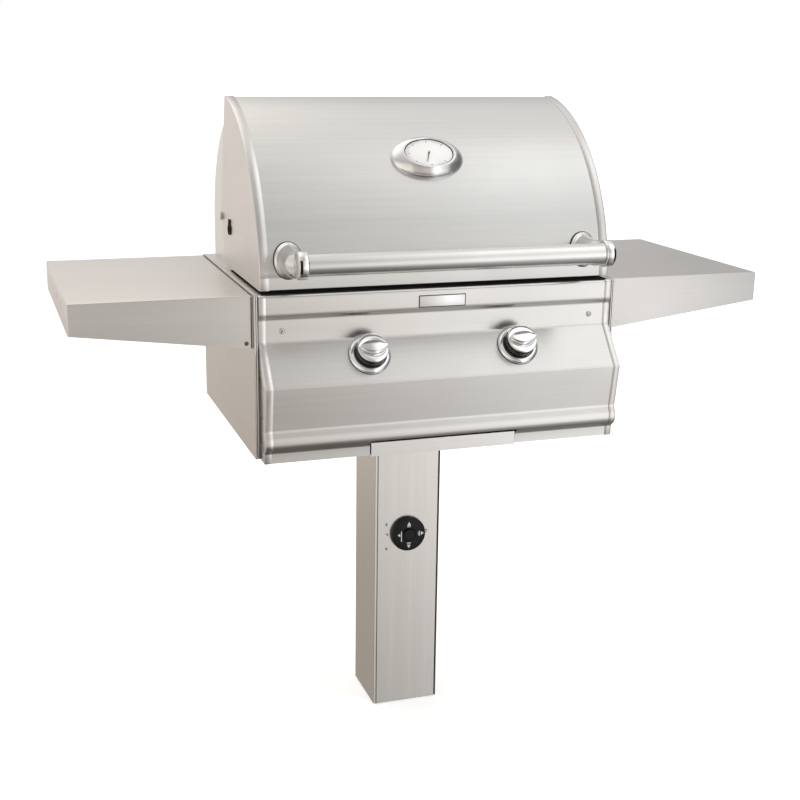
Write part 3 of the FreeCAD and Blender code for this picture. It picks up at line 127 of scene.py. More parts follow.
def faceOut(outward):
    # turns a sheet's faces so that the one furthest out looks out
    closeUp()
    mesh = bmesh.from_edit_mesh(bpy.context.object.data)
    last = max(mesh.faces, key=lambda face: face.calc_center_median().dot(Vector(outward)))
    if last.normal.dot(Vector(outward)) < 0:
        bpy.ops.mesh.flip_normals()


def finishWith(piece, kind, **settings):
    # adds a modifier and applies it
    makeActive(piece)
    step = piece.modifiers.new(kind.title(), kind)
    for key, value in settings.items():
        setattr(step, key, value)
    bpy.ops.object.modifier_apply(modifier=step.name)
    return piece


def thicken(piece, wall):
    return finishWith(piece, "SOLIDIFY", thickness=wall * mm, offset=-1, use_even_offset=True)


def roundEdges(piece, width, over=60, segments=2):
    return finishWith(piece, "BEVEL", width=width * mm, segments=segments, limit_method="ANGLE",
                      angle_limit=radians(over), harden_normals=False)


def smoothUnder(piece, degrees=38):
    makeActive(piece)
    bpy.ops.object.shade_smooth_by_angle(angle=radians(degrees))
    return piece


def combine(piece, other, operation):
    finishWith(piece, "BOOLEAN", operation=operation, solver="EXACT", object=other)
    bpy.data.objects.remove(other)
    return piece


def carve(piece, cutter):
    return combine(piece, cutter, "DIFFERENCE")


def addCube(name, size, middle):
    deselectAll()
    bpy.ops.mesh.primitive_cube_add(size=1, scale=[side * mm for side in size],
                                    location=[place * mm for place in middle])
    return nameIt(name)


def copyOf(piece, name, shift=(0, 0, 0), mirrored=False):
    makeActive(piece)
    bpy.ops.object.duplicate()
    double = bpy.context.object
    double.name = name
    double.data.name = name
    double.location = Vector(shift) * mm
    if mirrored:
        double.scale.x = -1
    settle(double)
    edit(double)
    pickAll()
    bpy.ops.mesh.normals_make_consistent(inside=False)
    leaveEdit()
    return double


def standAt(piece, x, y, z, tilt=0.0):
    # a piece made upright at the origin is tipped forwards and moved to its place
    piece.rotation_euler = (radians(tilt), 0, 0)
    piece.location = (x * mm, y * mm, z * mm)
    return settle(piece)


def join(name, *items):
    deselectAll()
    for item in items:
        item.select_set(True)
    bpy.context.view_layer.objects.active = items[0]
    bpy.ops.object.join()
    items[0].name = name
    items[0].data.name = name
    return items[0]


def drawLine(name, points):
    # one corner, drawn out through the points as a line of edges
    deselectAll()
    bpy.ops.mesh.primitive_plane_add(size=0.01 * mm, location=Vector(points[0]) * mm)
    piece = nameIt(name)
    edit(piece)
    pickAll()
    bpy.ops.mesh.merge(type="CENTER")
    for start, end in zip(points, points[1:]):
        extrudeBy(*(Vector(end) - Vector(start)))
    return piece


def foldSheet(name, folds, low, high, outward):
    # a flat strip folded along X: each fold is (y, z, how far the bend starts before it)
    piece = drawLine(name, [(low, y, z) for y, z, bend in folds])
    pickAll()
    extrudeBy(high - low, 0, 0)
    faceOut(outward)
    bendFolds(folds)
    return piece


def bendFolds(folds):
    for y, z, bend in folds:
        if bend:
            pick("EDGE", lambda a, b: abs(a.x - b.x) > 1 and max(
                abs(a.y - y), abs(b.y - y), abs(a.z - z), abs(b.z - z)) < 0.05)
            bpy.ops.mesh.bevel(offset=bend * mm, segments=5, affect="EDGES")


def turnPiece(name, profile, steps=96):
    # a profile of (radius, height) spun round the upright axis
    piece = drawLine(name, [(radius, 0, height) for radius, height in profile])
    pickAll()
    bpy.ops.mesh.spin(steps=steps, angle=2 * pi, center=(0, 0, 0), axis=(0, 0, 1))
    closeUp()
    leaveEdit()
    return piece


def dress(piece, body, material, slot, *stoodFor, smooth=38):
    # gives a new piece its finish and its body, and hides the CAD nodes that it stands for
    if smooth:
        smoothUnder(piece, smooth)
    piece.data.materials.clear()
    piece.data.materials.append(material)
    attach(piece, body)
    if stoodFor:
        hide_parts(*stoodFor)
    return piece


def toLeft(name):
    return name.replace("Right", "Left").replace("right", "left")


def dressPair(piece, body, material, slot, *stoodFor, shift=None, smooth=38):
    # dresses the right-hand piece, and a copy on the left that is mirrored, or only shifted
    dress(piece, body, material, slot, *stoodFor, smooth=smooth)
    left = copyOf(piece, toLeft(piece.name), shift or (0, 0, 0), mirrored=not shift)
    dress(left, toLeft(body), material, slot, *map(toLeft, stoodFor), smooth=smooth)


def finishNode(material, names):
    for name in names:
        node = nodes[name]
        node.data.materials.clear()
        node.data.materials.append(material)
        node.data.polygons.foreach_set("material_index", [0] * len(node.data.polygons))


def feed(tree, socket, source):
    # a number, place or colour is set on the socket, and anything else is linked to it
    if isinstance(source, tuple):
        socket.default_value = (*source, 1) if socket.type == "RGBA" else source
    elif isinstance(source, (int, float)):
        socket.default_value = source
    else:
        tree.links.new(source, socket)


def addNode(tree, kind, inputs=None, **settings):
    step = tree.nodes.new(kind)
    for key, value in settings.items():
        setattr(step, key, value)
    for label, source in (inputs or {}).items():
        feed(tree, step.inputs[label], source)
    return step


def sums(tree, operation, *sources):
    return addNode(tree, "ShaderNodeMath", dict(enumerate(sources)), operation=operation).outputs[0]


def smoothShare(tree, source, low, high):
    # 0 up to low and 1 from high on, with a soft step between them
    return addNode(tree, "ShaderNodeMapRange", {"Value": source, "From Min": low, "From Max": high},
                   interpolation_type="SMOOTHSTEP").outputs["Result"]


def mapRange(tree, source, low, high):
    return addNode(tree, "ShaderNodeMapRange",
                   {"Value": source, "To Min": low, "To Max": high}).outputs["Result"]


shot = {"lens": 58.906, "turn": -18.7096, "lookDown": 15.1659, "roll": 0.7774,
        "place": (-0.81346, -2.41214, 1.32096), "sensor": 36.0}

cameraData = bpy.data.cameras.new("shotCamera")
camera = bpy.data.objects.new("shotCamera", cameraData)
scene.collection.objects.link(camera)
cameraData.lens = shot["lens"]
cameraData.sensor_width = shot["sensor"]
cameraTurn = (Matrix.Rotation(radians(shot["turn"]), 4, "Z")
              @ Matrix.Rotation(radians(90 - shot["lookDown"]), 4, "X")
              @ Matrix.Rotation(radians(shot["roll"]), 4, "Z"))
camera.matrix_world = Matrix.Translation(shot["place"]) @ cameraTurn
scene.camera = camera

# the paper is lit up to white where the camera looks at it, with a faint shadow left
paper = {"size": 120, "drop": 0.001, "grey": (0.94, 0.94, 0.94), "roughness": 0.9, "litUp": 0.42}

deselectAll()
bpy.ops.mesh.primitive_plane_add(size=paper["size"], location=(0, 0, -paper["drop"]))
floor = bpy.context.object
floor.name = "studioFloor"
floorPaint = bpy.data.materials.new("floorPaint")
floorPaint.use_nodes = True
floorTree = floorPaint.node_tree
floorShader = floorTree.nodes["Principled BSDF"]
feed(floorTree, floorShader.inputs["Base Color"], paper["grey"])
feed(floorTree, floorShader.inputs["Roughness"], paper["roughness"])
feed(floorTree, floorShader.inputs["Emission Color"], (1, 1, 1))
cameraRays = addNode(floorTree, "ShaderNodeLightPath").outputs["Is Camera Ray"]
feed(floorTree, floorShader.inputs["Emission Strength"],
     sums(floorTree, "MULTIPLY", cameraRays, paper["litUp"]))
floor.data.materials.append(floorPaint)
floor.visible_glossy = False

softBoxes = {"keyBox": {"place": (2.6, -2.4, 2.7), "aim": (0, 0, 0.95), "size": (1.8, 1.8), "watts": 15},
             "topBox": {"place": (1.3, -0.9, 3.4), "aim": (0, 0, 0.9), "size": (2.0, 1.6), "watts": 14}}

for name, box in softBoxes.items():
    data = bpy.data.lights.new(name, "AREA")
    data.shape = "RECTANGLE"
    data.size, data.size_y = box["size"]
    data.energy = box["watts"]
    light = bpy.data.objects.new(name, data)
    scene.collection.objects.link(light)
    light.location = box["place"]
    aim = Vector(box["aim"]) - Vector(box["place"])
    light.rotation_euler = aim.to_track_quat("-Z", "Y").to_euler()
    light.visible_glossy = False  # the steel mirrors the studio below instead

# the studio round the object: (place along the axis, how bright, how warm) from -1 to 1
studio = {"highAcross": [(-1.0, 0.78, 0.03), (-0.3, 0.72, 0.03), (0.1, 0.50, 0.04),
                         (0.25, 0.47, 0.03), (0.33, 1.2, 0.01), (0.43, 1.9, 0.0), (0.52, 1.3, 0.0),
                         (0.72, 1.05, 0.0), (0.88, 0.6, 0.0), (1.0, 0.5, 0.0)],
          "frontAcross": [(-1.0, 1.15, 0.08), (-0.38, 1.0, 0.10), (-0.26, 0.62, 0.06),
                          (-0.1, 0.58, 0.06), (0.02, 0.60, 0.09), (0.13, 0.67, 0.13),
                          (0.24, 0.69, 0.11), (0.33, 1.12, 0.03), (0.43, 1.98, 0.0), (0.52, 1.4, 0.0),
                          (0.7, 0.95, 0.0), (0.86, 0.25, 0.0), (1.0, 0.18, 0.0)],
          "frontUp": [(-1.0, 0.12, 0.0), (-0.7, 0.30, 0.0), (-0.55, 0.46, 0.0), (-0.44, 0.66, 0.0),
                      (-0.32, 0.90, 0.0), (-0.2, 1.02, 0.0), (0.1, 0.94, 0.0), (0.3, 0.82, 0.0),
                      (0.45, 0.76, 0.0), (0.7, 0.92, 0.0), (0.86, 1.08, 0.0), (1.0, 1.3, 0.0)],
          "backAcross": [(-1.0, 0.8, 0.07), (-0.2, 0.98, 0.07), (0.13, 0.94, 0.07), (0.27, 0.57, 0.03),
                         (0.43, 0.66, 0.02), (0.55, 0.52, 0.01), (0.76, 0.5, 0.0), (0.9, 0.22, 0.0),
                         (1.0, 0.18, 0.0)],
          "backUp": [(-1.0, 0.18, 0.1), (-0.6, 0.38, 0.1), (-0.38, 0.44, 0.1), (-0.25, 0.67, 0.08),
                     (-0.08, 1.1, 0.0), (0.17, 0.86, 0.0), (0.45, 0.98, 0.0), (0.72, 1.55, 0.0),
                     (0.86, 1.5, 0.0), (1.0, 1.4, 0.0)],
          "highFrom": 0.15, "highTo": 0.5, "sideBlend": 0.35,
          "warmRed": 0.4, "warmGreen": 0.3, "backdrop": (1.0, 1.0, 1.0)}

world = bpy.data.worlds.new("paleStudio")
scene.world = world
world.use_nodes = True
worldTree = world.node_tree
ground = worldTree.nodes["Background"]


def studioRamp(source, stops):
    # brightness along one axis of the direction that the steel looks in
    share = sums(worldTree, "MULTIPLY_ADD", source, 0.5, 0.5)
    ramp = addNode(worldTree, "ShaderNodeValToRGB")
    ramp.color_ramp.interpolation = "EASE"
    while len(ramp.color_ramp.elements) < len(stops):
        ramp.color_ramp.elements.new(0.5)
    for element, (spot, bright, warm) in zip(ramp.color_ramp.elements, stops):
        element.position = spot / 2 + 0.5
        element.color = (bright * (1 + warm * studio["warmRed"]),
                         bright * (1 - warm * studio["warmGreen"]), bright * (1 - warm), 1)
    worldTree.links.new(share, ramp.inputs["Fac"])
    return ramp.outputs["Color"]


def mixWorld(blend, *sources):
    return addNode(worldTree, "ShaderNodeMixRGB", dict(enumerate(sources)), blend_type=blend).outputs[0]


direction = addNode(worldTree, "ShaderNodeTexCoord").outputs["Generated"]
looksX, looksY, looksZ = addNode(worldTree, "ShaderNodeSeparateXYZ", {0: direction}).outputs
highShare = smoothShare(worldTree, looksZ, studio["highFrom"], studio["highTo"])
across = mixWorld("MIX", highShare, studioRamp(looksX, studio["frontAcross"]),
                  studioRamp(looksX, studio["highAcross"]))
front = mixWorld("MULTIPLY", 1.0, across, studioRamp(looksZ, studio["frontUp"]))
behind = mixWorld("MULTIPLY", 1.0, studioRamp(looksX, studio["backAcross"]),
                  studioRamp(looksZ, studio["backUp"]))
frontShare = smoothShare(worldTree, looksY, studio["sideBlend"], -studio["sideBlend"])
around = mixWorld("MIX", frontShare, behind, front)
cameraRays = addNode(worldTree, "ShaderNodeLightPath").outputs["Is Camera Ray"]
feed(worldTree, ground.inputs["Color"], mixWorld("MIX", cameraRays, around, studio["backdrop"]))
print("stage and lights are up")


def newGroup(name, inputs, outputs):
    group = bpy.data.node_groups.new(name, "ShaderNodeTree")
    for label, kind, value in inputs:
        socket = group.interface.new_socket(name=label, in_out="INPUT", socket_type=kind)
        if value is not None:
            socket.default_value = value
    for label in outputs:
        group.interface.new_socket(name=label, in_out="OUTPUT", socket_type="NodeSocketFloat")
    return group, group.nodes.new("NodeGroupInput").outputs, group.nodes.new("NodeGroupOutput").inputs


def noise(tree, vector, scale, detail=3.0, roughness=0.55):
    return addNode(tree, "ShaderNodeTexNoise", {"Vector": vector, "Scale": scale, "Detail": detail,
                                                "Roughness": roughness}).outputs["Fac"]


# brushed grain: fine streaks along the mapping's long direction, with longer faint bands
grainGroup, grainIn, grainOut = newGroup(
    "brushedGrain", [("Vector", "NodeSocketVector", None), ("Band Share", "NodeSocketFloat", 0.4)],
    ["Streaks", "Height"])
fineStreaks = noise(grainGroup, grainIn["Vector"], 1.0, 4.0, 0.7)
longBands = noise(grainGroup, grainIn["Vector"], 0.16, 2.0, 0.5)
bandShare = sums(grainGroup, "MULTIPLY", longBands, grainIn["Band Share"])
streaks = sums(grainGroup, "ADD", sums(grainGroup, "MULTIPLY", fineStreaks, 0.6), bandShare)
feed(grainGroup, grainOut["Streaks"], streaks)
feed(grainGroup, grainOut["Height"], fineStreaks)

# handling: broad soft patches where hands, rain and cloths have dulled a surface
patchGroup, patchIn, patchOut = newGroup(
    "handledPatches", [("Vector", "NodeSocketVector", None), ("Size", "NodeSocketFloat", 6.0)],
    ["Patches", "Specks"])
feed(patchGroup, patchOut["Patches"], noise(patchGroup, patchIn["Vector"], patchIn["Size"], 4.0, 0.5))
speckNoise = noise(patchGroup, patchIn["Vector"], 420.0, 2.0, 0.5)
feed(patchGroup, patchOut["Specks"], sums(patchGroup, "GREATER_THAN", speckNoise, 0.70))


def stretched(tree, vector, scale, turn=(0, 0, 0)):
    return addNode(tree, "ShaderNodeMapping",
                   {"Vector": vector, "Scale": scale, "Rotation": turn}).outputs["Vector"]


def grainOn(tree, place, scale):
    return addNode(tree, "ShaderNodeGroup", node_tree=grainGroup,
                   inputs={"Vector": stretched(tree, place, scale)}).outputs


def handledOn(tree, place, size):
    return addNode(tree, "ShaderNodeGroup", node_tree=patchGroup,
                   inputs={"Vector": place, "Size": size}).outputs


def mixColour(tree, share, first, second):
    step = addNode(tree, "ShaderNodeMix", {"Factor": share}, data_type="RGBA")
    colourSockets = [socket for socket in step.inputs if socket.type == "RGBA"]
    for socket, colour in zip(colourSockets, (first, second)):
        feed(tree, socket, colour)
    return [socket for socket in step.outputs if socket.type == "RGBA"][0]


def newMaterial(name, metallic=0.0, ior=1.5):
    material = bpy.data.materials.new(name)
    material.use_nodes = True
    shader = material.node_tree.nodes["Principled BSDF"]
    shader.inputs["Metallic"].default_value = metallic
    shader.inputs["IOR"].default_value = ior
    coordinates = material.node_tree.nodes.new("ShaderNodeTexCoord")
    return material, material.node_tree, shader, coordinates.outputs["Object"]


def bump(tree, height, strength, distance, shader):
    step = addNode(tree, "ShaderNodeBump",
                   {"Height": height, "Strength": strength, "Distance": distance})
    feed(tree, shader.inputs["Normal"], step.outputs["Normal"])


# how each kind of surface has worn: patch sizes, dust, and how strong and deep its relief is
wear = {"worn": (-0.05, 0.06), "satin": 0.05, "grain": (0.12, 0.00006), "wipedPatches": 28.0,
        "wipedScale": (60, 300, 300), "wipedTurn": (0.3, 0.2, 0.4), "wipedDepth": 0.00003, "dust": 0.1,
        "blackPatches": 40.0, "blackLift": 0.012, "blackDust": (0.06, 0.06, 0.058),
        "pebbles": (0.18, 0.00008), "castPatches": 9.0, "castStain": 0.5, "grit": (0.35, 0.0004)}


def brushedSteel(name, scale, dark, light, rough, patches=6.0):
    # stainless sheet with its grain along the direction that the scale leaves long
    material, tree, shader, place = newMaterial(name, metallic=1.0)
    streaked, height = grainOn(tree, place, scale)
    patched, specks = handledOn(tree, place, patches)
    feed(tree, shader.inputs["Base Color"], mixColour(tree, streaked, dark, light))
    worn = mapRange(tree, patched, *wear["worn"])
    satin = mapRange(tree, streaked, rough - wear["satin"], rough + wear["satin"])
    feed(tree, shader.inputs["Roughness"], sums(tree, "ADD", worn, satin))
    bump(tree, height, *wear["grain"], shader)
    return material


# how fine the grain is along X, Y and Z: it runs long where the number is small
alongX, alongY, alongZ, alongArc = (5, 700, 700), (700, 5, 700), (700, 700, 5), (700, 5, 5)
noGrain = (220, 220, 220)
hoodSteel = brushedSteel("hoodSteel", alongX, (0.60, 0.60, 0.585), (0.78, 0.78, 0.765), 0.34)
panelSteel = brushedSteel("panelSteel", alongX, (0.60, 0.59, 0.57), (0.78, 0.77, 0.75), 0.30)
shelfSteel = brushedSteel("shelfSteel", alongX, (0.60, 0.58, 0.565), (0.76, 0.745, 0.73), 0.36)
sideSteel = brushedSteel("sideSteel", alongY, (0.60, 0.575, 0.55), (0.74, 0.715, 0.69), 0.38)
postSteel = brushedSteel("postSteel", alongZ, (0.62, 0.61, 0.59), (0.77, 0.76, 0.74), 0.25)
tubeSteel = brushedSteel("tubeSteel", alongX, (0.64, 0.635, 0.62), (0.80, 0.795, 0.78), 0.26)
plainSteel = brushedSteel("plainSteel", noGrain, (0.50, 0.49, 0.48), (0.64, 0.63, 0.62), 0.42, 12.0)
gridSteel = brushedSteel("gridSteel", alongY, (0.36, 0.33, 0.30), (0.58, 0.55, 0.51), 0.38, 14.0)


def polishedMetal(name, dark, light, rough, wiping=0.03):
    # chrome and polished trim: nearly a mirror, with faint wiping marks and a few specks of dust
    material, tree, shader, place = newMaterial(name, metallic=1.0)
    patched, specks = handledOn(tree, place, wear["wipedPatches"])
    feed(tree, shader.inputs["Base Color"], mixColour(tree, patched, dark, light))
    gloss = mapRange(tree, patched, rough * 0.5, rough * 1.6)
    dusty = sums(tree, "MULTIPLY", specks, wear["dust"])
    feed(tree, shader.inputs["Roughness"], sums(tree, "ADD", gloss, dusty))
    wiped = noise(tree, stretched(tree, place, wear["wipedScale"], wear["wipedTurn"]), 1.0)
    bump(tree, wiped, wiping, wear["wipedDepth"], shader)
    return material


chrome = polishedMetal("chrome", (0.78, 0.78, 0.79), (0.90, 0.90, 0.90), 0.07)
footSatin = polishedMetal("footSatin", (0.72, 0.72, 0.71), (0.86, 0.86, 0.85), 0.17)
gaugeChrome = polishedMetal("gaugeChrome", (0.68, 0.68, 0.68), (0.82, 0.82, 0.82), 0.12)
polishedTrim = polishedMetal("polishedTrim", (0.68, 0.665, 0.65), (0.80, 0.785, 0.77), 0.27, 0.05)
bandSteel = brushedSteel("bandSteel", alongArc, (0.60, 0.585, 0.57), (0.76, 0.745, 0.73), 0.28)
brightSteel = polishedMetal("brightSteel", (0.55, 0.55, 0.55), (0.68, 0.68, 0.68), 0.24, 0.06)


def mouldedBlack(name, colour, rough, coat, texture, ior=1.33):
    # moulded plastic, rubber and paint: a fine pebbled skin with dust on it
    material, tree, shader, place = newMaterial(name, ior=ior)
    patched, specks = handledOn(tree, place, wear["blackPatches"])
    tone = mixColour(tree, patched, colour, tuple(each + wear["blackLift"] for each in colour))
    feed(tree, shader.inputs["Base Color"], mixColour(tree, specks, tone, wear["blackDust"]))
    feed(tree, shader.inputs["Roughness"], mapRange(tree, patched, rough - 0.06, rough + 0.1))
    shader.inputs["Coat Weight"].default_value = coat
    bump(tree, noise(tree, place, texture, 2.0), *wear["pebbles"], shader)
    return material


knobBlack = mouldedBlack("knobBlack", (0.004, 0.004, 0.0045), 0.22, 0.1, 1200.0, 1.4)
# the timer's black also paints shade: the black linings, rings, strips and blocks set in hollows, slots
# and seams below
timerBlack = mouldedBlack("timerBlack", (0.004, 0.004, 0.0045), 0.42, 0.0, 1500.0, 1.3)
padRubber = mouldedBlack("padRubber", (0.022, 0.022, 0.022), 0.75, 0.0, 900.0)
pipeBlack = mouldedBlack("pipeBlack", (0.03, 0.029, 0.028), 0.5, 0.2, 600.0)


def castMetal(name, dark, light, rough, metallic, texture, stain=(0.10, 0.07, 0.05)):
    # gritty castings, enamel and paint, stained in broad patches
    material, tree, shader, place = newMaterial(name, metallic=metallic)
    patched, specks = handledOn(tree, place, wear["castPatches"])
    grit = noise(tree, place, texture, 5.0, 0.65)
    stained = sums(tree, "MULTIPLY", patched, wear["castStain"])
    tone = mixColour(tree, grit, dark, light)
    feed(tree, shader.inputs["Base Color"], mixColour(tree, stained, tone, stain))
    feed(tree, shader.inputs["Roughness"], mapRange(tree, grit, rough - 0.1, rough + 0.15))
    bump(tree, grit, *wear["grit"], shader)
    return material


castBurner = castMetal("castBurner", (0.10, 0.095, 0.09), (0.24, 0.225, 0.21), 0.6, 0.7, 320.0)

# the fire box: browned by the burners, clean again where it comes out under the hood,
# and with painted shade: black along the front and side rims, for the shadow in the gaps under the hood
fire = {"cleanAbove": 0.9015, "cleanBlend": 0.012, "shadeBefore": -0.196, "shadeTo": 0.03,
        "shadeHalf": 0.331, "shadeWidth": 0.013, "ragged": 0.006, "patches": 9.0,
        "brown": ((0.26, 0.21, 0.16), (0.50, 0.46, 0.40)),
        "clean": ((0.60, 0.585, 0.56), (0.78, 0.76, 0.74)),
        "paintedShade": (0.006, 0.005, 0.004), "shadeRough": 0.5, "rough": (0.28, 0.5)}


def heatedSteel(name):
    material, tree, shader, place = newMaterial(name, metallic=1.0)
    patched, specks = handledOn(tree, place, fire["patches"])
    streaked, height = grainOn(tree, place, alongY)
    atX, atY, atZ = addNode(tree, "ShaderNodeSeparateXYZ", {0: place}).outputs
    outside = smoothShare(tree, atZ, fire["cleanAbove"] - fire["cleanBlend"], fire["cleanAbove"])
    bare = mixColour(tree, outside, mixColour(tree, patched, *fire["brown"]),
                     mixColour(tree, streaked, *fire["clean"]))
    # painted shade: this mask paints the rims black where the gaps under the hood lie in shadow
    ragged = sums(tree, "MULTIPLY_ADD", patched, fire["ragged"], -fire["ragged"] / 2)
    before = sums(tree, "LESS_THAN", sums(tree, "ADD", atY, ragged), fire["shadeBefore"])
    across = sums(tree, "ABSOLUTE", atX)
    between = sums(tree, "LESS_THAN", across, fire["shadeHalf"])
    beside = sums(tree, "GREATER_THAN", sums(tree, "ADD", across, ragged),
                  fire["shadeHalf"] - fire["shadeWidth"])
    sides = sums(tree, "MULTIPLY", beside, sums(tree, "LESS_THAN", atY, fire["shadeTo"]))
    paintedShade = sums(tree, "MULTIPLY", sums(tree, "MAXIMUM", before, sides), between)
    feed(tree, shader.inputs["Base Color"], mixColour(tree, paintedShade, bare, fire["paintedShade"]))
    satin = mapRange(tree, patched, *fire["rough"])
    feed(tree, shader.inputs["Roughness"], sums(tree, "MULTIPLY_ADD", paintedShade, fire["shadeRough"], satin))
    feed(tree, shader.inputs["Metallic"], sums(tree, "SUBTRACT", 1.0, paintedShade))
    bump(tree, height, *wear["grain"], shader)
    return material


fireSteel = heatedSteel("fireSteel")
grateSteel = castMetal("grateSteel", (0.30, 0.27, 0.23), (0.46, 0.42, 0.36), 0.42, 1.0, 90.0)
brassFitting = castMetal("brassFitting", (0.55, 0.38, 0.15), (0.72, 0.54, 0.26), 0.32, 1.0, 160.0,
                         (0.40, 0.27, 0.12))
platePaint = castMetal("platePaint", (0.018, 0.018, 0.018), (0.045, 0.045, 0.045), 0.5, 0.0, 700.0,
                       (0.03, 0.028, 0.026))
needleGrey = mouldedBlack("needleGrey", (0.13, 0.13, 0.135), 0.4, 0.0, 900.0)
scaleGrey = mouldedBlack("scaleGrey", (0.22, 0.22, 0.23), 0.5, 0.0, 900.0)
printWhite = castMetal("printWhite", (0.74, 0.74, 0.73), (0.84, 0.84, 0.83), 0.55, 0.0, 900.0,
                       (0.6, 0.6, 0.59))
badgeSatin = polishedMetal("badgeSatin", (0.84, 0.84, 0.83), (0.93, 0.93, 0.92), 0.32, 0.04)
dialEnamel = castMetal("dialEnamel", (0.88, 0.88, 0.875), (0.94, 0.94, 0.935), 0.4, 0.0, 500.0,
                       (0.85, 0.85, 0.84))

for material, names in (
        (postSteel, "post_tube"), (platePaint, "mount_plate"),
        (brightSteel, "mount_bolts mount_nuts hood_pivot_bolts hood_pivot_bushes panel_screws"
                      " shelf_pins handle_bolts"),
        (sideSteel, "side_panel_right side_panel_left hood_side_right hood_side_left shelf_brackets"),
        (plainSteel, "floor_plate tray_rails"), (panelSteel, "control_panel drip_tray"),
        (hoodSteel, "back_panel rear_cowl hood_skin"), (fireSteel, "firebox firebox_funnel"),
        (grateSteel, "flavor_grid_left flavor_grid_right"),
        (gridSteel, "cooking_grid_left cooking_grid_right warming_rack"),
        (padRubber, "hood_rest_buttons"),
        (polishedTrim, "panel_trim_right panel_trim_left badge_plate"),
        (bandSteel, "hood_band_right hood_band_left"),
        (chrome, "knob_bezel_left knob_bezel_right knob_cap_left knob_cap_right"
                 " handle_bracket_left handle_bracket_right thermometer_bezel"),
        (knobBlack, "knob_skirt_left knob_skirt_right thermometer_needle"),
        (brassFitting, "valve_plug_left valve_plug_right gas_valves timer_valve"),
        (pipeBlack, "manifold gas_inlet_pipe gas_supply_pipe"), (castBurner, "burner_left burner_right"),
        (timerBlack, "timer_knob"), (shelfSteel, "shelf_right shelf_left"), (tubeSteel, "handle_tube"),
        (dialEnamel, "thermometer_dial")):
    finishNode(material, names.split())
print("finishes are on the CAD nodes")


def plateOf(name, points, low, high):
    # a flat plate on an outline, from one height to another
    piece = drawLine(name, [(x, y, low) for x, y in points + points[:1]])
    closeUp()
    bpy.ops.mesh.edge_face_add()
    extrudeBy(0, 0, high - low)
    closeUp()
    leaveEdit()
    return piece


def barOf(x, y, width, height):
    return [(x - width / 2, y - height / 2), (x + width / 2, y - height / 2),
            (x + width / 2, y + height / 2), (x - width / 2, y + height / 2)]


# the hood's sheet: a folded lip, a long arc over the front and top, and a short fall at the back
hood = {"centreY": 101, "centreZ": 897, "radius": 333, "half": 331.05, "bottom": 909, "lipTop": 931,
        "ease": 2, "lipStep": 1, "lipFold": 16, "topBack": 46, "rearDrop": 48, "rearShift": 12.7,
        "wall": 1.2, "bandWidth": 17, "outer": 332.25, "steps": 64, "sideFold": 4, "sideBend": 2.2,
        "footBend": 1.6, "lipBend": 0.6, "topBend": 3, "bandOut": 1.18, "bandRound": 0.4}


def hoodStrip(name, out, low, high, foldIn, fall, sideFold=0):
    radius = hood["radius"] + out
    y0, z0 = hood["centreY"], hood["centreZ"]
    ease = hood["lipTop"] + hood["ease"]
    front = y0 - sqrt(radius ** 2 - (ease - z0) ** 2)
    step = front - hood["lipStep"]
    sweep = acos((y0 - hood["topBack"]) / radius) - asin((ease - z0) / radius)
    line = [(low, step, hood["bottom"]), (low, step, hood["lipTop"]), (low, front, ease)]
    if foldIn:
        line.insert(0, (low, step + foldIn, hood["bottom"]))
    piece = drawLine(name, line)
    pick("VERT", lambda c: abs(c.z - ease) < 0.01)
    bpy.ops.mesh.spin(steps=hood["steps"], angle=sweep, center=(low * mm, y0 * mm, z0 * mm),
                      axis=(1, 0, 0))
    if fall:
        top = z0 + sqrt(radius ** 2 - (y0 - hood["topBack"]) ** 2)
        pick("VERT", lambda c: abs(c.y - hood["topBack"]) < 0.05 and abs(c.z - top) < 0.05)
        extrudeBy(0, hood["rearShift"], -fall)
    pickAll()
    bpy.ops.mesh.remove_doubles(threshold=weldWithin)
    pickAll()
    extrudeBy(high - low, 0, 0)
    faceOut((0, -1, 0.6))
    bendFolds([(step, hood["bottom"], hood["footBend"] if foldIn else 0),
               (step, hood["lipTop"], hood["lipBend"])])
    if fall:
        bendFolds([(hood["topBack"], top, hood["topBend"])])
    if sideFold:
        pick("EDGE", lambda a, b: min(a.x, b.x) > high - 0.01)
        extrudeBy(0, 0, 0)
        scaleBy(1, 1 - sideFold / radius, 1 - sideFold / radius, (0, y0, z0))
        faceOut((1, -0.1, 0))
        pick("EDGE", lambda a, b: min(a.x, b.x) > high - 0.01 and max(
            abs((c.yz - Vector((y0, z0))).length - radius) if c.z > ease
            else abs(min(c.y - front, c.y - step)) for c in (a, b)) < 1.2)
        bpy.ops.mesh.bevel(offset=hood["sideBend"] * mm, segments=4, affect="EDGES")
    leaveEdit()
    return piece


hoodSkin = hoodStrip("hoodSkin", 0, -hood["half"], hood["half"], hood["lipFold"], hood["rearDrop"])
thicken(hoodSkin, hood["wall"])
dress(hoodSkin, "hood", hoodSteel, "hood_steel", "hood_skin")

hoodBand = hoodStrip("hoodBandRight", hood["bandOut"], hood["outer"] - hood["bandWidth"],
                     hood["outer"], 0, 0, hood["sideFold"])
roundEdges(thicken(hoodBand, hood["wall"]), hood["bandRound"])
dressPair(hoodBand, "hood", bandSteel, "polished_trim", "hood_band_right")

# a side of the hood: a plate with an ear at its pivot, a keyhole and a flange under it
hoodSide = {"inner": 331.05, "pivotY": 90, "pivotZ": 1000, "earRadius": 16, "pivotHole": 5.06,
            "footBack": 72, "cutLength": 60, "flangeFront": -214.5, "flangeBack": 38,
            "flangeDepth": 16, "flangeLap": 0.6, "keyY": 16, "keyZ": 983, "keyRadius": 10.5,
            "slotHalf": 4.5, "slotTop": 1002, "slotRound": 1.5}
keyShadeSizes = {"gap": 0.05, "outer": 335.4, "inner": 329.6, "wall": 2.0, "deep": 4.6, "round": 0.3}


def arcPoints(x, y, z, radius, start, end, steps):
    return [(x, y + radius * cos(start + (end - start) * step / steps),
             z + radius * sin(start + (end - start) * step / steps)) for step in range(steps + 1)]


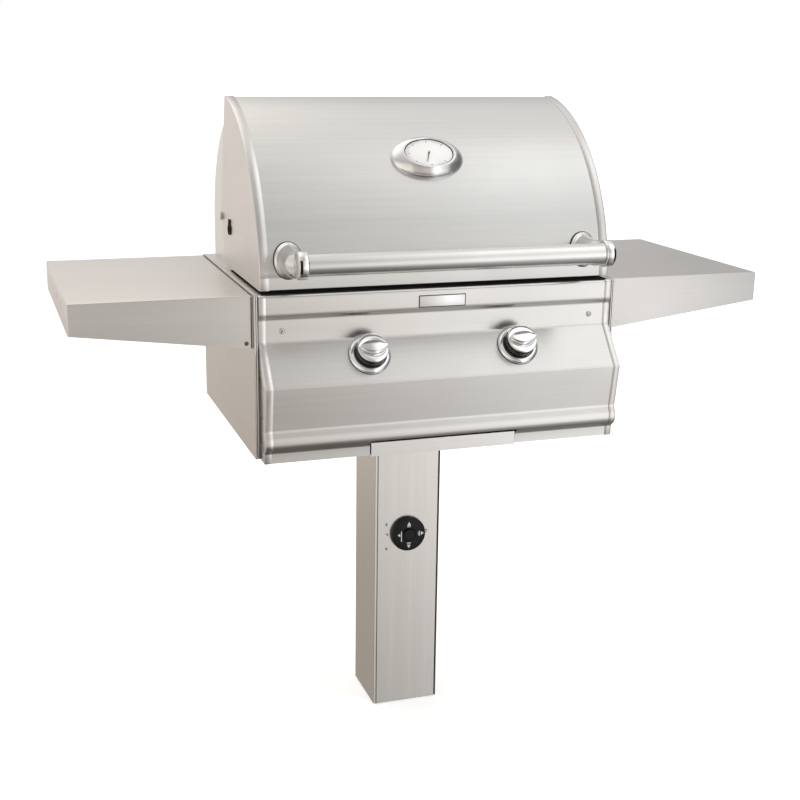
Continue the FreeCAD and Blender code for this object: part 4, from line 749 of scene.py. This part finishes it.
def crossCylinder(name, y, z, radius, vertices=64):
    # a rod along X that passes through everything there
    deselectAll()
    bpy.ops.mesh.primitive_cylinder_add(
        vertices=vertices, radius=radius * mm, depth=hoodSide["cutLength"] * mm,
        rotation=(0, pi / 2, 0), location=Vector((hoodSide["inner"], y, z)) * mm)
    return nameIt(name)


def keySlot(name, gap=0.0):
    # the slot over the keyhole's round part
    low, high = hoodSide["keyZ"] - gap, hoodSide["slotTop"] - gap
    return addCube(name, (hoodSide["cutLength"], 2 * (hoodSide["slotHalf"] - gap), high - low),
                   (hoodSide["inner"], hoodSide["keyY"], (low + high) / 2))


x = hoodSide["inner"]
lipEnd = hood["lipTop"] + hood["ease"]
rimRadius = hood["radius"] + hood["wall"] - hood["sideFold"]
lipFront = hood["centreY"] - sqrt(rimRadius ** 2 - (lipEnd - hood["centreZ"]) ** 2)
lipStart = pi - asin((lipEnd - hood["centreZ"]) / rimRadius)
topEnd = acos((hood["topBack"] - hood["centreY"]) / rimRadius)
rim = ([(x, lipFront - hood["lipStep"], hood["bottom"]), (x, lipFront - hood["lipStep"], hood["lipTop"])]
       + arcPoints(x, hood["centreY"], hood["centreZ"], rimRadius, lipStart, topEnd, 96)
       + arcPoints(x, hoodSide["pivotY"], hoodSide["pivotZ"], hoodSide["earRadius"], 0, -pi / 2, 12)
       + [(x, hoodSide["footBack"], hood["bottom"])])
sideRight = drawLine("hoodSideRight", rim + rim[:1])
closeUp()
bpy.ops.mesh.edge_face_add()
extrudeBy(hood["wall"], 0, 0)
closeUp()
leaveEdit()
carve(sideRight, roundEdges(keySlot("keySlot"), hoodSide["slotRound"], segments=4))
carve(sideRight, crossCylinder("keyHole", hoodSide["keyY"], hoodSide["keyZ"], hoodSide["keyRadius"]))
carve(sideRight, crossCylinder("pivotHole", hoodSide["pivotY"], hoodSide["pivotZ"],
                               hoodSide["pivotHole"]))
flangeWidth = hoodSide["flangeDepth"] + hoodSide["flangeLap"]
sideFlange = plateOf("sideFlange", barOf(x + hoodSide["flangeLap"] - flangeWidth / 2,
                                         (hoodSide["flangeFront"] + hoodSide["flangeBack"]) / 2,
                                         flangeWidth, hoodSide["flangeBack"] - hoodSide["flangeFront"]),
                     hood["bottom"], hood["bottom"] + hood["wall"])
sideRight = join("hoodSideRight", sideRight, sideFlange)
dressPair(sideRight, "hood", sideSteel, "hood_side_steel", "hood_side_right", smooth=None)

# painted shade: a black lining in the keyhole stands for the shadowed inside of the hood seen through it
keyShade = crossCylinder("keyBushRight", hoodSide["keyY"], hoodSide["keyZ"],
                     hoodSide["keyRadius"] - keyShadeSizes["gap"])
combine(keyShade, keySlot("slotBush", keyShadeSizes["gap"]), "UNION")
edit(keyShade)
for place, direction in ((keyShadeSizes["outer"], (1, 0, 0)), (keyShadeSizes["inner"], (-1, 0, 0))):
    pickAll("FACE")
    bpy.ops.mesh.bisect(plane_co=(place * mm, 0, 0), plane_no=direction, clear_outer=True, use_fill=True)
pick("FACE", lambda c, n: n.x > 0.9)
bpy.ops.mesh.inset(thickness=keyShadeSizes["wall"] * mm)
extrudeBy(-keyShadeSizes["deep"], 0, 0)
leaveEdit()
roundEdges(keyShade, keyShadeSizes["round"])
dressPair(keyShade, "hood", timerBlack, "black_rubber")
print("hood is folded")

# the control panel: folds from its top to its foot, as (y, z, bend)
panel = {"half": 335.5, "topHalf": 333.0, "wall": 1.5, "backOfTop": -190.5,
         "screwX": 295, "screwY": -236, "screwZ": 838.6,
         "folds": [(-240, 902, 5.5), (-240, 866.5, 4), (-235.2, 859, 3), (-236, 852, 3), (-236, 818, 3),
                   (-292, 749, 1.6), (-279, 668, 4), (-285, 657, 6), (-285, 639.5, 7),
                   (-270.6, 628.5, 2.5), (-270, 609, 0)],
         "notch": (-143.6, 137.6, 638.5)}
trims = {"inner": 324, "outer": 336.5, "wall": 1.0, "top": 903, "topBack": -235, "topBend": 6,
         "behind": -236.9, "round": 0.35}

panelSheet = foldSheet("controlPanel", [(panel["backOfTop"], panel["folds"][0][1], 0)] + panel["folds"],
                       -panel["half"], panel["half"], (0, -1, 0))
notchLow, notchHigh, notchTop = panel["notch"]
for place, direction in (((0, 0, notchTop), (0, 0, 1)), ((notchLow, 0, 0), (1, 0, 0)),
                         ((notchHigh, 0, 0), (1, 0, 0))):
    pickAll("FACE")
    bpy.ops.mesh.bisect(plane_co=Vector(place) * mm, plane_no=direction)
pick("FACE", lambda c, n: notchLow < c.x < notchHigh and c.z < notchTop)
bpy.ops.mesh.delete(type="FACE")
# the top fold is narrower than the panel, to pass between the side rails
pick("VERT", lambda c: c.y > panel["backOfTop"] - 1)
scaleBy(panel["topHalf"] / panel["half"], 1, 1)
leaveEdit()
thicken(panelSheet, panel["wall"])
dress(panelSheet, "grill", panelSteel, "panel_steel", "control_panel")

trimFolds = [(y - trims["wall"], z, bend) for y, z, bend in panel["folds"]]
trimFolds[0] = (trimFolds[0][0], trims["top"], trims["topBend"])
trim = foldSheet("panelTrimRight", [(trims["topBack"], trims["top"], 0)] + trimFolds, trims["inner"],
                 trims["outer"], (0, -1, 0))
# its outer edge goes back to the body as a cheek
pick("EDGE", lambda a, b: min(a.x, b.x) > trims["outer"] - 0.1
     and max(a.y, b.y) < trims["behind"] - 0.05)
extrudeBy(0, 0, 0)
scaleBy(1, 0, 1, (0, trims["behind"], 0))
faceOut((0, -1, 0))
leaveEdit()
thicken(trim, trims["wall"])
roundEdges(trim, trims["round"])
dressPair(trim, "grill", polishedTrim, "polished_trim", "panel_trim_right", smooth=30)
print("control panel is folded")

# a side shelf: a shallow tray turned over, deeper at the body than at its free end
shelf = {"inner": 346.3, "outer": 657, "front": -229, "back": 235, "top": 902, "innerDepth": 94,
         "outerDepth": 55, "lip": 12, "wall": 1.2, "bend": 2.2, "slotY": 155, "slotPitch": 83,
         "slotZ": 879, "slotWidth": 5, "slotHeight": 14, "slotCut": 30, "slotRound": 2.2, "slots": 4}

length, depth = shelf["outer"] - shelf["inner"], shelf["back"] - shelf["front"]
shelfMiddleX, shelfMiddleY = (shelf["outer"] + shelf["inner"]) / 2, (shelf["back"] + shelf["front"]) / 2
shelfRight = addCube("shelfRight", (length, depth, shelf["innerDepth"]),
                     (shelfMiddleX, shelfMiddleY, shelf["top"] - shelf["innerDepth"] / 2))
edit(shelfRight)
pick("VERT", lambda c: c.x > shelf["outer"] - 1 and c.z < shelf["top"] - 1)
bpy.ops.transform.translate(value=(0, 0, (shelf["innerDepth"] - shelf["outerDepth"]) * mm))
pick("FACE", lambda c, n: n.x < -0.5 or n.z < -0.5)
bpy.ops.mesh.delete(type="FACE")
# the lower edges turn in as lips, and the folds are bent round
pick("EDGE", lambda a, b: (a.z + b.z) / 2 < shelf["top"] - 10 and not (
    abs(a.x - b.x) < 1 and abs(a.y - b.y) < 1) and (a.x + b.x) / 2 > shelf["inner"] + 1)
extrudeBy(0, 0, 0)
scaleBy((length - shelf["lip"]) / length, (depth - 2 * shelf["lip"]) / depth, 1,
        (shelf["inner"], shelfMiddleY, 0))
faceOut((0, 0, 1))
pick("EDGE", lambda a, b: a.z > shelf["top"] - 1 and b.z > shelf["top"] - 1 and
     (a.x + b.x) / 2 > shelf["inner"] + 1
     or abs(a.x - b.x) < 0.01 and abs(a.y - b.y) < 0.01 and a.x > shelfMiddleX)
bpy.ops.mesh.bevel(offset=shelf["bend"] * mm, segments=4, affect="EDGES")
leaveEdit()
thicken(shelfRight, shelf["wall"])
for number in range(shelf["slots"]):
    slotCutter = addCube("slotCutter", (shelf["slotCut"], shelf["slotWidth"], shelf["slotHeight"]),
                         (shelf["outer"], shelf["slotY"] - number * shelf["slotPitch"], shelf["slotZ"]))
    carve(shelfRight, roundEdges(slotCutter, shelf["slotRound"], segments=4))
dressPair(shelfRight, "shelf_right", shelfSteel, "shelf_steel", "shelf_right")
print("shelves are folded")

# a knob: a domed bezel on the slope, a black skirt and a chrome cap with a lens-shaped grip
knob = {"x": 142, "y": -257.43, "z": 791.6, "tilt": 50.94, "gripLength": 26.6, "gripHalf": 13.4,
        "gripTop": 38.6, "gripFoot": 28.2, "crown": (0.96, 0.8, 34), "gripRound": 0.7, "seam": 0.75,
        "seamRise": 0.35, "pointer": (5, 2.2, 12), "pointerAt": (28, 0, 28),
        "pointerRound": 0.4, "capRound": 0.25,
        "bezel": [(28.6, 2.0), (38.3, 2.0), (38.5, 2.4), (38.3, 4.4), (37.4, 6.2), (35.4, 7.8),
                  (32.8, 8.7), (30.4, 9.0), (29.0, 8.6), (28.6, 7.6), (28.6, 2.0)],
        "shadeRing": [(29, 0.15), (38.2, 0.15), (38.48, 0.5), (38.48, 1.6), (38.2, 1.95), (29, 1.95),
                   (29, 0.15)],
        "skirt": [(4, 19), (21.5, 19), (21.5, 5), (26.3, 5), (27.4, 6.2), (27.2, 14), (26.7, 23.2),
                  (25.9, 24), (4, 24), (4, 19)],
        "collar": [(25.8, 24.1), (26.9, 24.1), (27.3, 24.6), (27.3, 26.6), (25.8, 26.6), (25.8, 24.1)],
        "cap": [(0, -27), (2.9, -27), (2.9, 24.05), (25.6, 24.05), (25.6, 26.7), (27.3, 26.7),
                (27.8, 27.0), (28.0, 27.5), (28.0, 28.7), (27.7, 29.3), (27.0, 29.7), (26.4, 29.8),
                (0, 29.8)]}

knobBezel = smoothUnder(turnPiece("knobBezelRight", knob["bezel"], 128), 50)
# painted shade: a thin black ring under the bezel stands for the shadow at its foot
knobShadeRing = smoothUnder(turnPiece("knobGasketRight", knob["shadeRing"], 96))
knobSkirt = smoothUnder(turnPiece("knobSkirtRight", knob["skirt"], 128), 50)
knobCollar = smoothUnder(turnPiece("knobCollarRight", knob["collar"], 128))
knobCap = turnPiece("knobCapRight", knob["cap"], 128)

# the grip is the lens where two arcs cross, raised and rounded over
lensRadius = (knob["gripLength"] ** 2 + knob["gripHalf"] ** 2) / (2 * knob["gripHalf"])
lensSweep = 2 * asin(knob["gripLength"] / lensRadius)
grip = drawLine("knobGripRight", [(-knob["gripLength"], 0, knob["gripFoot"])])
pickAll()
bpy.ops.mesh.spin(steps=32, angle=lensSweep, axis=(0, 0, 1),
                  center=(0, (knob["gripHalf"] - lensRadius) * mm, knob["gripFoot"] * mm))
pickAll()
bpy.ops.mesh.duplicate()
scaleBy(1, -1, 1)
closeUp()
pickAll()
bpy.ops.mesh.edge_face_add()
extrudeBy(0, 0, knob["gripTop"] - knob["gripFoot"])
closeUp()
leaveEdit()
# the cap is cut away a little round the grip, which leaves a dark seam
seamCutter = copyOf(grip, "seamCutter")
seamCutter.scale = (1 + knob["seam"] / knob["gripLength"] / 2, 1 + knob["seam"] / knob["gripHalf"], 1)
seamCutter.location.y = knob["seamRise"] * mm
carve(knobCap, settle(seamCutter))
pointerCutter = addCube("pointerCutter", knob["pointer"], knob["pointerAt"])
carve(knobCap, roundEdges(pointerCutter, knob["pointerRound"]))
roundEdges(knobCap, knob["capRound"], over=50)
smoothUnder(knobCap, 40)
edit(grip)
crownLong, crownWide, crownFrom = knob["crown"]
pick("VERT", lambda c: c.z > crownFrom)
scaleBy(crownLong, crownWide, 1, (0, 0, crownFrom))
leaveEdit()
smoothUnder(roundEdges(grip, knob["gripRound"], over=45, segments=4), 50)

for piece, body, material, slot, stoodFor in (
        (knobBezel, "grill", chrome, "knob_chrome", ["knob_bezel_right"]),
        (knobShadeRing, "grill", timerBlack, "knob_black", []),
        (knobSkirt, "knob_right_push", knobBlack, "knob_black", ["knob_skirt_right"]),
        (knobCollar, "knob_right_push", knobBlack, "knob_black", []),
        (knobCap, "knob_right_push", chrome, "knob_chrome", ["knob_cap_right"]),
        (grip, "knob_right_push", chrome, "knob_chrome", [])):
    standAt(piece, knob["x"], knob["y"], knob["z"], knob["tilt"])
    dressPair(piece, body, material, slot, *stoodFor, shift=(-2 * knob["x"], 0, 0), smooth=None)
print("knobs are turned")

# the thermometer: an oval bezel that domes up to a white dial
gauge = {"angle": 42.8, "stretch": 1.5, "cutRadius": 332.3, "cutLength": 900,
         "bezel": [(30.6, -5), (46.0, -5), (46.0, 2.2), (45.2, 4.6), (43.4, 8.0), (40.4, 11.8),
                   (37.2, 15.0), (34.8, 17.0), (33.2, 17.9), (32.0, 18.0), (31.2, 17.4), (30.9, 16.2),
                   (30.6, 14.6), (30.6, -5)],
         "dial": [(0, 13.6), (30.4, 13.6), (30.4, 14.6), (29.9, 15.0), (0, 15.0)],
         "ring": [(30.0, 14.7), (30.5, 14.7), (30.5, 15.7), (30.3, 15.9), (30.0, 15.7), (30.0, 14.7)],
         "ticks": ((25.6, 28.4, 0.45, 36), (24.0, 28.4, 0.9, 6)), "ticksFrom": -45, "ticksSweep": 270,
         "printLow": 15.0, "printHigh": 15.12,
         "hub": [(0, 15.5), (1.7, 15.5), (1.9, 15.7), (1.8, 16.4), (1.4, 16.65), (0, 16.7)],
         "pointer": [(-1.0, 0), (-0.35, -21), (0.35, -21), (1.0, 0), (0.7, 5), (-0.7, 5)],
         "pointerLow": 15.5, "pointerHigh": 16.2, "pointerTurn": -20}


def cutToHood(piece):
    # trims what stands on the hood to the hood's arc
    deselectAll()
    bpy.ops.mesh.primitive_cylinder_add(
        vertices=512, radius=gauge["cutRadius"] * mm, depth=gauge["cutLength"] * mm,
        rotation=(0, pi / 2, 0), location=(0, hood["centreY"] * mm, hood["centreZ"] * mm))
    return carve(piece, nameIt("hoodCutter"))


def standOnHood(piece, x, angle):
    # the hood's arc is met at an angle above level
    return standAt(piece, x, hood["centreY"] - hood["radius"] * cos(radians(angle)),
                   hood["centreZ"] + hood["radius"] * sin(radians(angle)), 90 - angle)


def stretchOval(piece):
    piece.scale.x = gauge["stretch"]
    return settle(piece)


gaugeBezel = standOnHood(stretchOval(turnPiece("gaugeBezel", gauge["bezel"], 160)), 0, gauge["angle"])
cutToHood(gaugeBezel)
dress(gaugeBezel, "hood", gaugeChrome, "handle_chrome", "thermometer_bezel", smooth=50)
gaugeDial = standOnHood(stretchOval(turnPiece("gaugeDial", gauge["dial"], 96)), 0, gauge["angle"])
dress(gaugeDial, "hood", dialEnamel, "dial_white", "thermometer_dial")

# its printed scale, a dark ring round it and the needle
gaugeRing = stretchOval(turnPiece("gaugeRing", gauge["ring"], 96))
scaleMarks = []
for inner, outer, width, steps in gauge["ticks"]:
    ticks = plateOf("gaugeScale", barOf((inner + outer) / 2, 0, outer - inner, width),
                    gauge["printLow"], gauge["printHigh"])
    ticks.rotation_euler.z = radians(gauge["ticksFrom"])
    settle(ticks)
    edit(ticks)
    pickAll()
    bpy.ops.mesh.spin(steps=steps, angle=radians(gauge["ticksSweep"]), dupli=True, center=(0, 0, 0),
                      axis=(0, 0, 1))
    leaveEdit()
    scaleMarks.append(ticks)
gaugeScale = stretchOval(join("gaugeScale", *scaleMarks))
hub = turnPiece("gaugeNeedle", gauge["hub"], 48)
pointer = plateOf("gaugePointer", gauge["pointer"], gauge["pointerLow"], gauge["pointerHigh"])
gaugeNeedle = join("gaugeNeedle", hub, pointer)
gaugeNeedle.rotation_euler.z = radians(gauge["pointerTurn"])
settle(gaugeNeedle)
for piece, body, material, slot, stoodFor in (
        (gaugeRing, "hood", timerBlack, "dial_white", []),
        (gaugeScale, "hood", scaleGrey, "dial_white", []),
        (gaugeNeedle, "needle", needleGrey, "needle_black", ["thermometer_needle"])):
    standOnHood(piece, 0, gauge["angle"])
    dress(piece, body, material, slot, *stoodFor)
print("thermometer is in its bezel")

# the timer: a black dial with a hub, and its printed marks
timer = {"y": -68.5, "z": 371, "tilt": 90, "face": 9.5, "print": 0.12, "postMarkLow": -0.02,
         "dial": [(0, -21), (4, -21), (4, 6), (14, 6), (14, 0.5), (34.8, 0.5), (35.2, 0.9), (35.2, 7.4),
                  (34.8, 8.7), (33.6, 9.5), (14.6, 9.5), (14.2, 8.6), (12.4, 8.6), (12.0, 9.6),
                  (11.7, 13.2), (10.9, 14.3), (9.6, 14.5), (7.6, 14.5), (7.2, 13.8), (0, 13.8)],
         "arrows": [[(-4.4, 18.8), (4.4, 18.8), (0, 26.6)], [(25.4, -4.2), (31.6, 0), (25.4, 4.2)],
                    [(-18.4, 3.6), (-24.2, 0), (-18.4, -3.6)],
                    [(3.8, -23.2), (-3.8, -23.2), (0, -29.2)]],
         "bars": [(0, 16.4, 7.2, 1.5), (22.4, 0, 1.6, 10.5), (19.9, 0, 1.0, 7.5), (-15.9, -3.2, 1.7, 22),
                  (0, -18.0, 8.6, 1.3), (0, -20.6, 6.4, 1.3)],
         "postArrow": [(38.2, 1.0), (43.0, 2.8), (38.2, 4.6)],
         "postBars": [(-44.8, 23.4, 4.6, 1.9), (-44.8, 20.6, 3.2, 1.6), (-43.6, 2, 5.0, 1.8),
                      (-42.4, -0.8, 3.0, 1.5), (-44.6, -28.6, 4.2, 1.8), (-44.6, -31.4, 4.2, 1.5),
                      (40.0, -1.0, 3.8, 1.4)]}


def printedMarks(name, outlines, bars, low, high):
    return join(name, *[plateOf(name, points, low, high)
                        for points in outlines + [barOf(*bar) for bar in bars]])


timerDial = turnPiece("timerDial", timer["dial"], 128)
timerMarks = printedMarks("timerMarks", timer["arrows"], timer["bars"], timer["face"] - timer["print"],
                          timer["face"] + timer["print"])
for piece, material, stoodFor in ((timerDial, timerBlack, ["timer_knob"]), (timerMarks, printWhite, [])):
    standAt(piece, 0, timer["y"], timer["z"], timer["tilt"])
    dress(piece, "timer_knob", material, "timer_black", *stoodFor)

# small dark marks beside the dial, printed on the post
postMarks = printedMarks("postMarks", [timer["postArrow"]], timer["postBars"], timer["postMarkLow"],
                         timer["print"])
standAt(postMarks, 0, timer["y"], timer["z"], timer["tilt"])
dress(postMarks, "grill", timerBlack, "timer_black", smooth=None)

# painted shade: black strips stand for the shadow in the seams down both sides of the post's front
# cover: name, place across and width
postSeamShade = {"length": 598, "z": 301, "low": -1.0, "high": 0.12,
            "strips": (("postSeamRight", 64.3, 2.8), ("postSeamLeft", -63.2, 1.2))}

for name, across, width in postSeamShade["strips"]:
    strip = plateOf(name, barOf(0, 0, width, postSeamShade["length"]), postSeamShade["low"], postSeamShade["high"])
    standAt(strip, across, timer["y"], postSeamShade["z"], timer["tilt"])
    dress(strip, "grill", timerBlack, "black_rubber", smooth=None)
print("timer is on the post")

# the two screws of the control panel, each with a cross in its domed head
screw = {"head": [(0, -12), (2.5, -12), (2.5, 0), (5.2, 0), (5.2, 0.6), (4.9, 1.2), (4.2, 1.7),
                  (3.0, 2.0), (0, 2.0)],
         "crossLong": 5.4, "crossWide": 1.2, "crossDeep": 2.6, "crossAt": 2.0,
         "crossShade": 3.4, "crossShadeLow": 0.3, "crossShadeHigh": 0.75, "round": 0.15}

screwRight = turnPiece("panelScrewRight", screw["head"], 48)
for across, up in ((screw["crossLong"], screw["crossWide"]), (screw["crossWide"], screw["crossLong"])):
    cross = addCube("crossCutter", (across, up, screw["crossDeep"]), (0, 0, screw["crossAt"]))
    carve(screwRight, roundEdges(cross, screw["round"]))
screwPlace = (panel["screwX"], panel["screwY"], panel["screwZ"], 90)
toOtherScrew = (-2 * panel["screwX"], 0, 0)
standAt(screwRight, *screwPlace)
dressPair(screwRight, "grill", brightSteel, "fastener", "panel_screws", shift=toOtherScrew)
# painted shade: a black square at the bottom of each cross stands for the shadow deep in it
crossShade = plateOf("screwRecessRight", barOf(0, 0, screw["crossShade"], screw["crossShade"]), screw["crossShadeLow"],
                 screw["crossShadeHigh"])
roundEdges(crossShade, screw["round"])
standAt(crossShade, *screwPlace)
dressPair(crossShade, "grill", timerBlack, "fastener", shift=toOtherScrew, smooth=None)

# the badge: a dark rim with a bare plate in it
badge = {"half": 44.5, "tall": 22, "z": 879, "y": -240, "thick": 1.2, "rim": 1.1, "sunk": 0.5,
         "gap": 0.25, "fieldLow": 0.65, "fieldHigh": 1.1, "rimRound": 0.15, "fieldRound": 0.2}

badgeRim = plateOf("badgeRim", barOf(0, 0, 2 * badge["half"], badge["tall"]), 0, badge["thick"])
edit(badgeRim)
pick("FACE", lambda c, n: n.z > 0.5)
bpy.ops.mesh.inset(thickness=badge["rim"] * mm)
extrudeBy(0, 0, -badge["sunk"])
leaveEdit()
roundEdges(badgeRim, badge["rimRound"])
border = 2 * (badge["rim"] + badge["gap"])
badgeField = plateOf("badgeField", barOf(0, 0, 2 * badge["half"] - border, badge["tall"] - border),
                     badge["fieldLow"], badge["fieldHigh"])
roundEdges(badgeField, badge["fieldRound"], segments=3)
for piece, material, stoodFor in ((badgeRim, timerBlack, ["badge_plate"]), (badgeField, badgeSatin, [])):
    standAt(piece, 0, badge["y"], badge["z"], 90)
    dress(piece, "grill", material, "badge", *stoodFor)

# the handle: a tube between two barrel ends, each on a foot that flares to the hood
# a section of a foot: height out of the hood, how far up its middle lies, half width, half height
handle = {"y": -322.36, "z": 966.33, "radius": 19, "wall": 1.6, "half": 284, "ringX": 280.5,
          "angle": 9.3, "slot": (4.4, 16, 23), "slotRight": 5.6, "slotFront": 17, "slotRound": 0.8,
          "plug": (4.3, 22.9), "slotShadeDeep": 6, "slotShadeFront": 15, "slotShadeRound": 0.4,
          "foot": [(-4, 9, 25.5, 32), (2.4, 9, 25.5, 32), (4.6, 8.8, 24.8, 31.3), (6.4, 8.5, 23, 29.6),
                   (8, 8, 21.4, 28.2), (14, 7.2, 20.4, 27.2), (22, 6, 19.4, 26.2),
                   (30, 4.8, 18.6, 25.3), (40, 3.3, 17.8, 24.4), (50, 1.9, 16.8, 23.5),
                   (58, 1.0, 15.2, 22.6), (66, 0.4, 12.4, 21), (75, 0, 9, 19)],
          "pad": [(-4, 9, 26.5, 33), (1.1, 9, 26.5, 33), (1.5, 9, 26.1, 32.6)],
          "ring": [(0, -8.5), (20.6, -8.5), (22.4, -8.1), (23.6, -7.0), (23.98, -5.4), (23.98, 5.4),
                   (23.6, 7.0), (22.4, 8.1), (21, 8.5), (19.2, 8.5), (19.2, 0.5), (0, 0.5), (0, -8.5)]}


def turnedAlongX(name, profile, x, quarter):
    # turned upright, laid along X and moved to the handle's line
    piece = turnPiece(name, profile, 96)
    piece.rotation_euler = (0, quarter * pi / 2, 0)
    return standAt(settle(piece), x, handle["y"], handle["z"])


tubeInner = handle["radius"] - handle["wall"]
tubeProfile = [(handle["radius"], -handle["half"]), (handle["radius"], handle["half"]),
               (tubeInner, handle["half"]), (tubeInner, -handle["half"]),
               (handle["radius"], -handle["half"])]
handleTube = turnedAlongX("handleTube", tubeProfile, 0, 1)
dress(handleTube, "hood", tubeSteel, "handle_steel", "handle_tube")


def ovalOnHood(name, sections):
    # an oval plate drawn out of the hood through its sections
    deselectAll()
    bpy.ops.mesh.primitive_circle_add(vertices=64, radius=1 * mm, fill_type="NGON")
    piece = nameIt(name)
    edit(piece)
    pickAll()
    height, up, wide, tall = sections[0]
    scaleBy(wide, tall, 1)
    bpy.ops.transform.translate(value=(0, up * mm, height * mm))
    for before, after in zip(sections, sections[1:]):
        extrudeBy(0, after[1] - before[1], after[0] - before[0])
        scaleBy(after[2] / before[2], after[3] / before[3], 1, (0, after[1], after[0]))
    closeUp()
    leaveEdit()
    return cutToHood(standOnHood(piece, handle["ringX"], handle["angle"]))


# painted shade: a black oval, a little wider than each foot, stands for the shadow where the foot meets
# the hood
dressPair(ovalOnHood("handlePadRight", handle["pad"]), "hood", timerBlack, "black_rubber")
foot = ovalOnHood("handleFootRight", handle["foot"])
ring = turnedAlongX("handleRingRight", handle["ring"], handle["ringX"], -1)
slotX = handle["ringX"] + handle["slotRight"]
ringSlot = addCube("ringSlot", handle["slot"], (slotX, handle["y"] - handle["slotFront"], handle["z"]))
carve(ring, roundEdges(ringSlot, handle["slotRound"], segments=3))
combine(foot, ring, "UNION")
foot.name = foot.data.name = "handleBracketRight"
dressPair(foot, "hood", footSatin, "handle_chrome", "handle_bracket_right", smooth=50)
# painted shade: a black block set in the slot stands for its shadowed inside
plug = plateOf("handlePlugRight", barOf(0, 0, *handle["plug"]), 0, handle["slotShadeDeep"])
roundEdges(plug, handle["slotShadeRound"])
standAt(plug, slotX, handle["y"] - handle["slotShadeFront"], handle["z"], 90)
dressPair(plug, "hood", timerBlack, "handle_chrome")
print("handle is on its feet")

# thin hems: one along the top of each side, and two down each front corner of the body;
# painted shade: black strips in the seams, two down each corner, and one round each shelf's inner end
hems = {"rail": (2.6, 474, 0.9), "railAt": (341.4, 2.5, 903.45), "railRound": 0.4,
        "corner": ((343.2, 2.6), (339.8, 2.2)), "cornerTall": 0.8, "cornerRound": 0.35,
        "cornerLength": 291, "cornerY": -237.95, "cornerZ": 755.5}
seamShades = {"low": -0.4, "high": 0.1, "cornerAcross": (341.6, 338.0), "cornerWidth": 1.3, "cornerY": -238,
         "shelfWidth": 1.7, "shelfGap": 1.0, "topLength": 460, "frontLength": 90, "frontZ": 855}


def seamShadeStrip(name, body, width, length, x, y, z, tilt):
    strip = plateOf(name, barOf(0, 0, width, length), seamShades["low"], seamShades["high"])
    dress(standAt(strip, x, y, z, tilt), body, timerBlack, "black_rubber", smooth=None)


for side, label in ((1, "Right"), (-1, "Left")):
    width, length, tall = hems["rail"]
    x, y, z = hems["railAt"]
    railHem = roundEdges(plateOf("railHem" + label, barOf(0, 0, width, length), 0, tall),
                         hems["railRound"], segments=3)
    standAt(railHem, side * x, y, z)
    dress(railHem, "grill", panelSteel, "body_steel")
    for number, (across, width) in enumerate(hems["corner"]):
        cornerHem = plateOf("cornerHem%s%d" % (label, number + 1),
                            barOf(0, 0, width, hems["cornerLength"]), 0, hems["cornerTall"])
        roundEdges(cornerHem, hems["cornerRound"], segments=3)
        standAt(cornerHem, side * across, hems["cornerY"], hems["cornerZ"], 90)
        dress(cornerHem, "grill", bandSteel, "body_steel")
    for number, across in enumerate(seamShades["cornerAcross"]):
        seamShadeStrip("cornerSeam%s%d" % (label, number + 1), "grill", seamShades["cornerWidth"],
                  hems["cornerLength"], side * across, seamShades["cornerY"], hems["cornerZ"], 90)
    seamX = side * (shelf["inner"] + seamShades["shelfGap"])
    seamShadeStrip("shelfTopSeam" + label, "shelf_" + label.lower(), seamShades["shelfWidth"], seamShades["topLength"],
              seamX, shelfMiddleY, shelf["top"], 0)
    seamShadeStrip("shelfFrontSeam" + label, "shelf_" + label.lower(), seamShades["shelfWidth"],
              seamShades["frontLength"], seamX, shelf["front"], seamShades["frontZ"], 90)
print("hems are on the body")
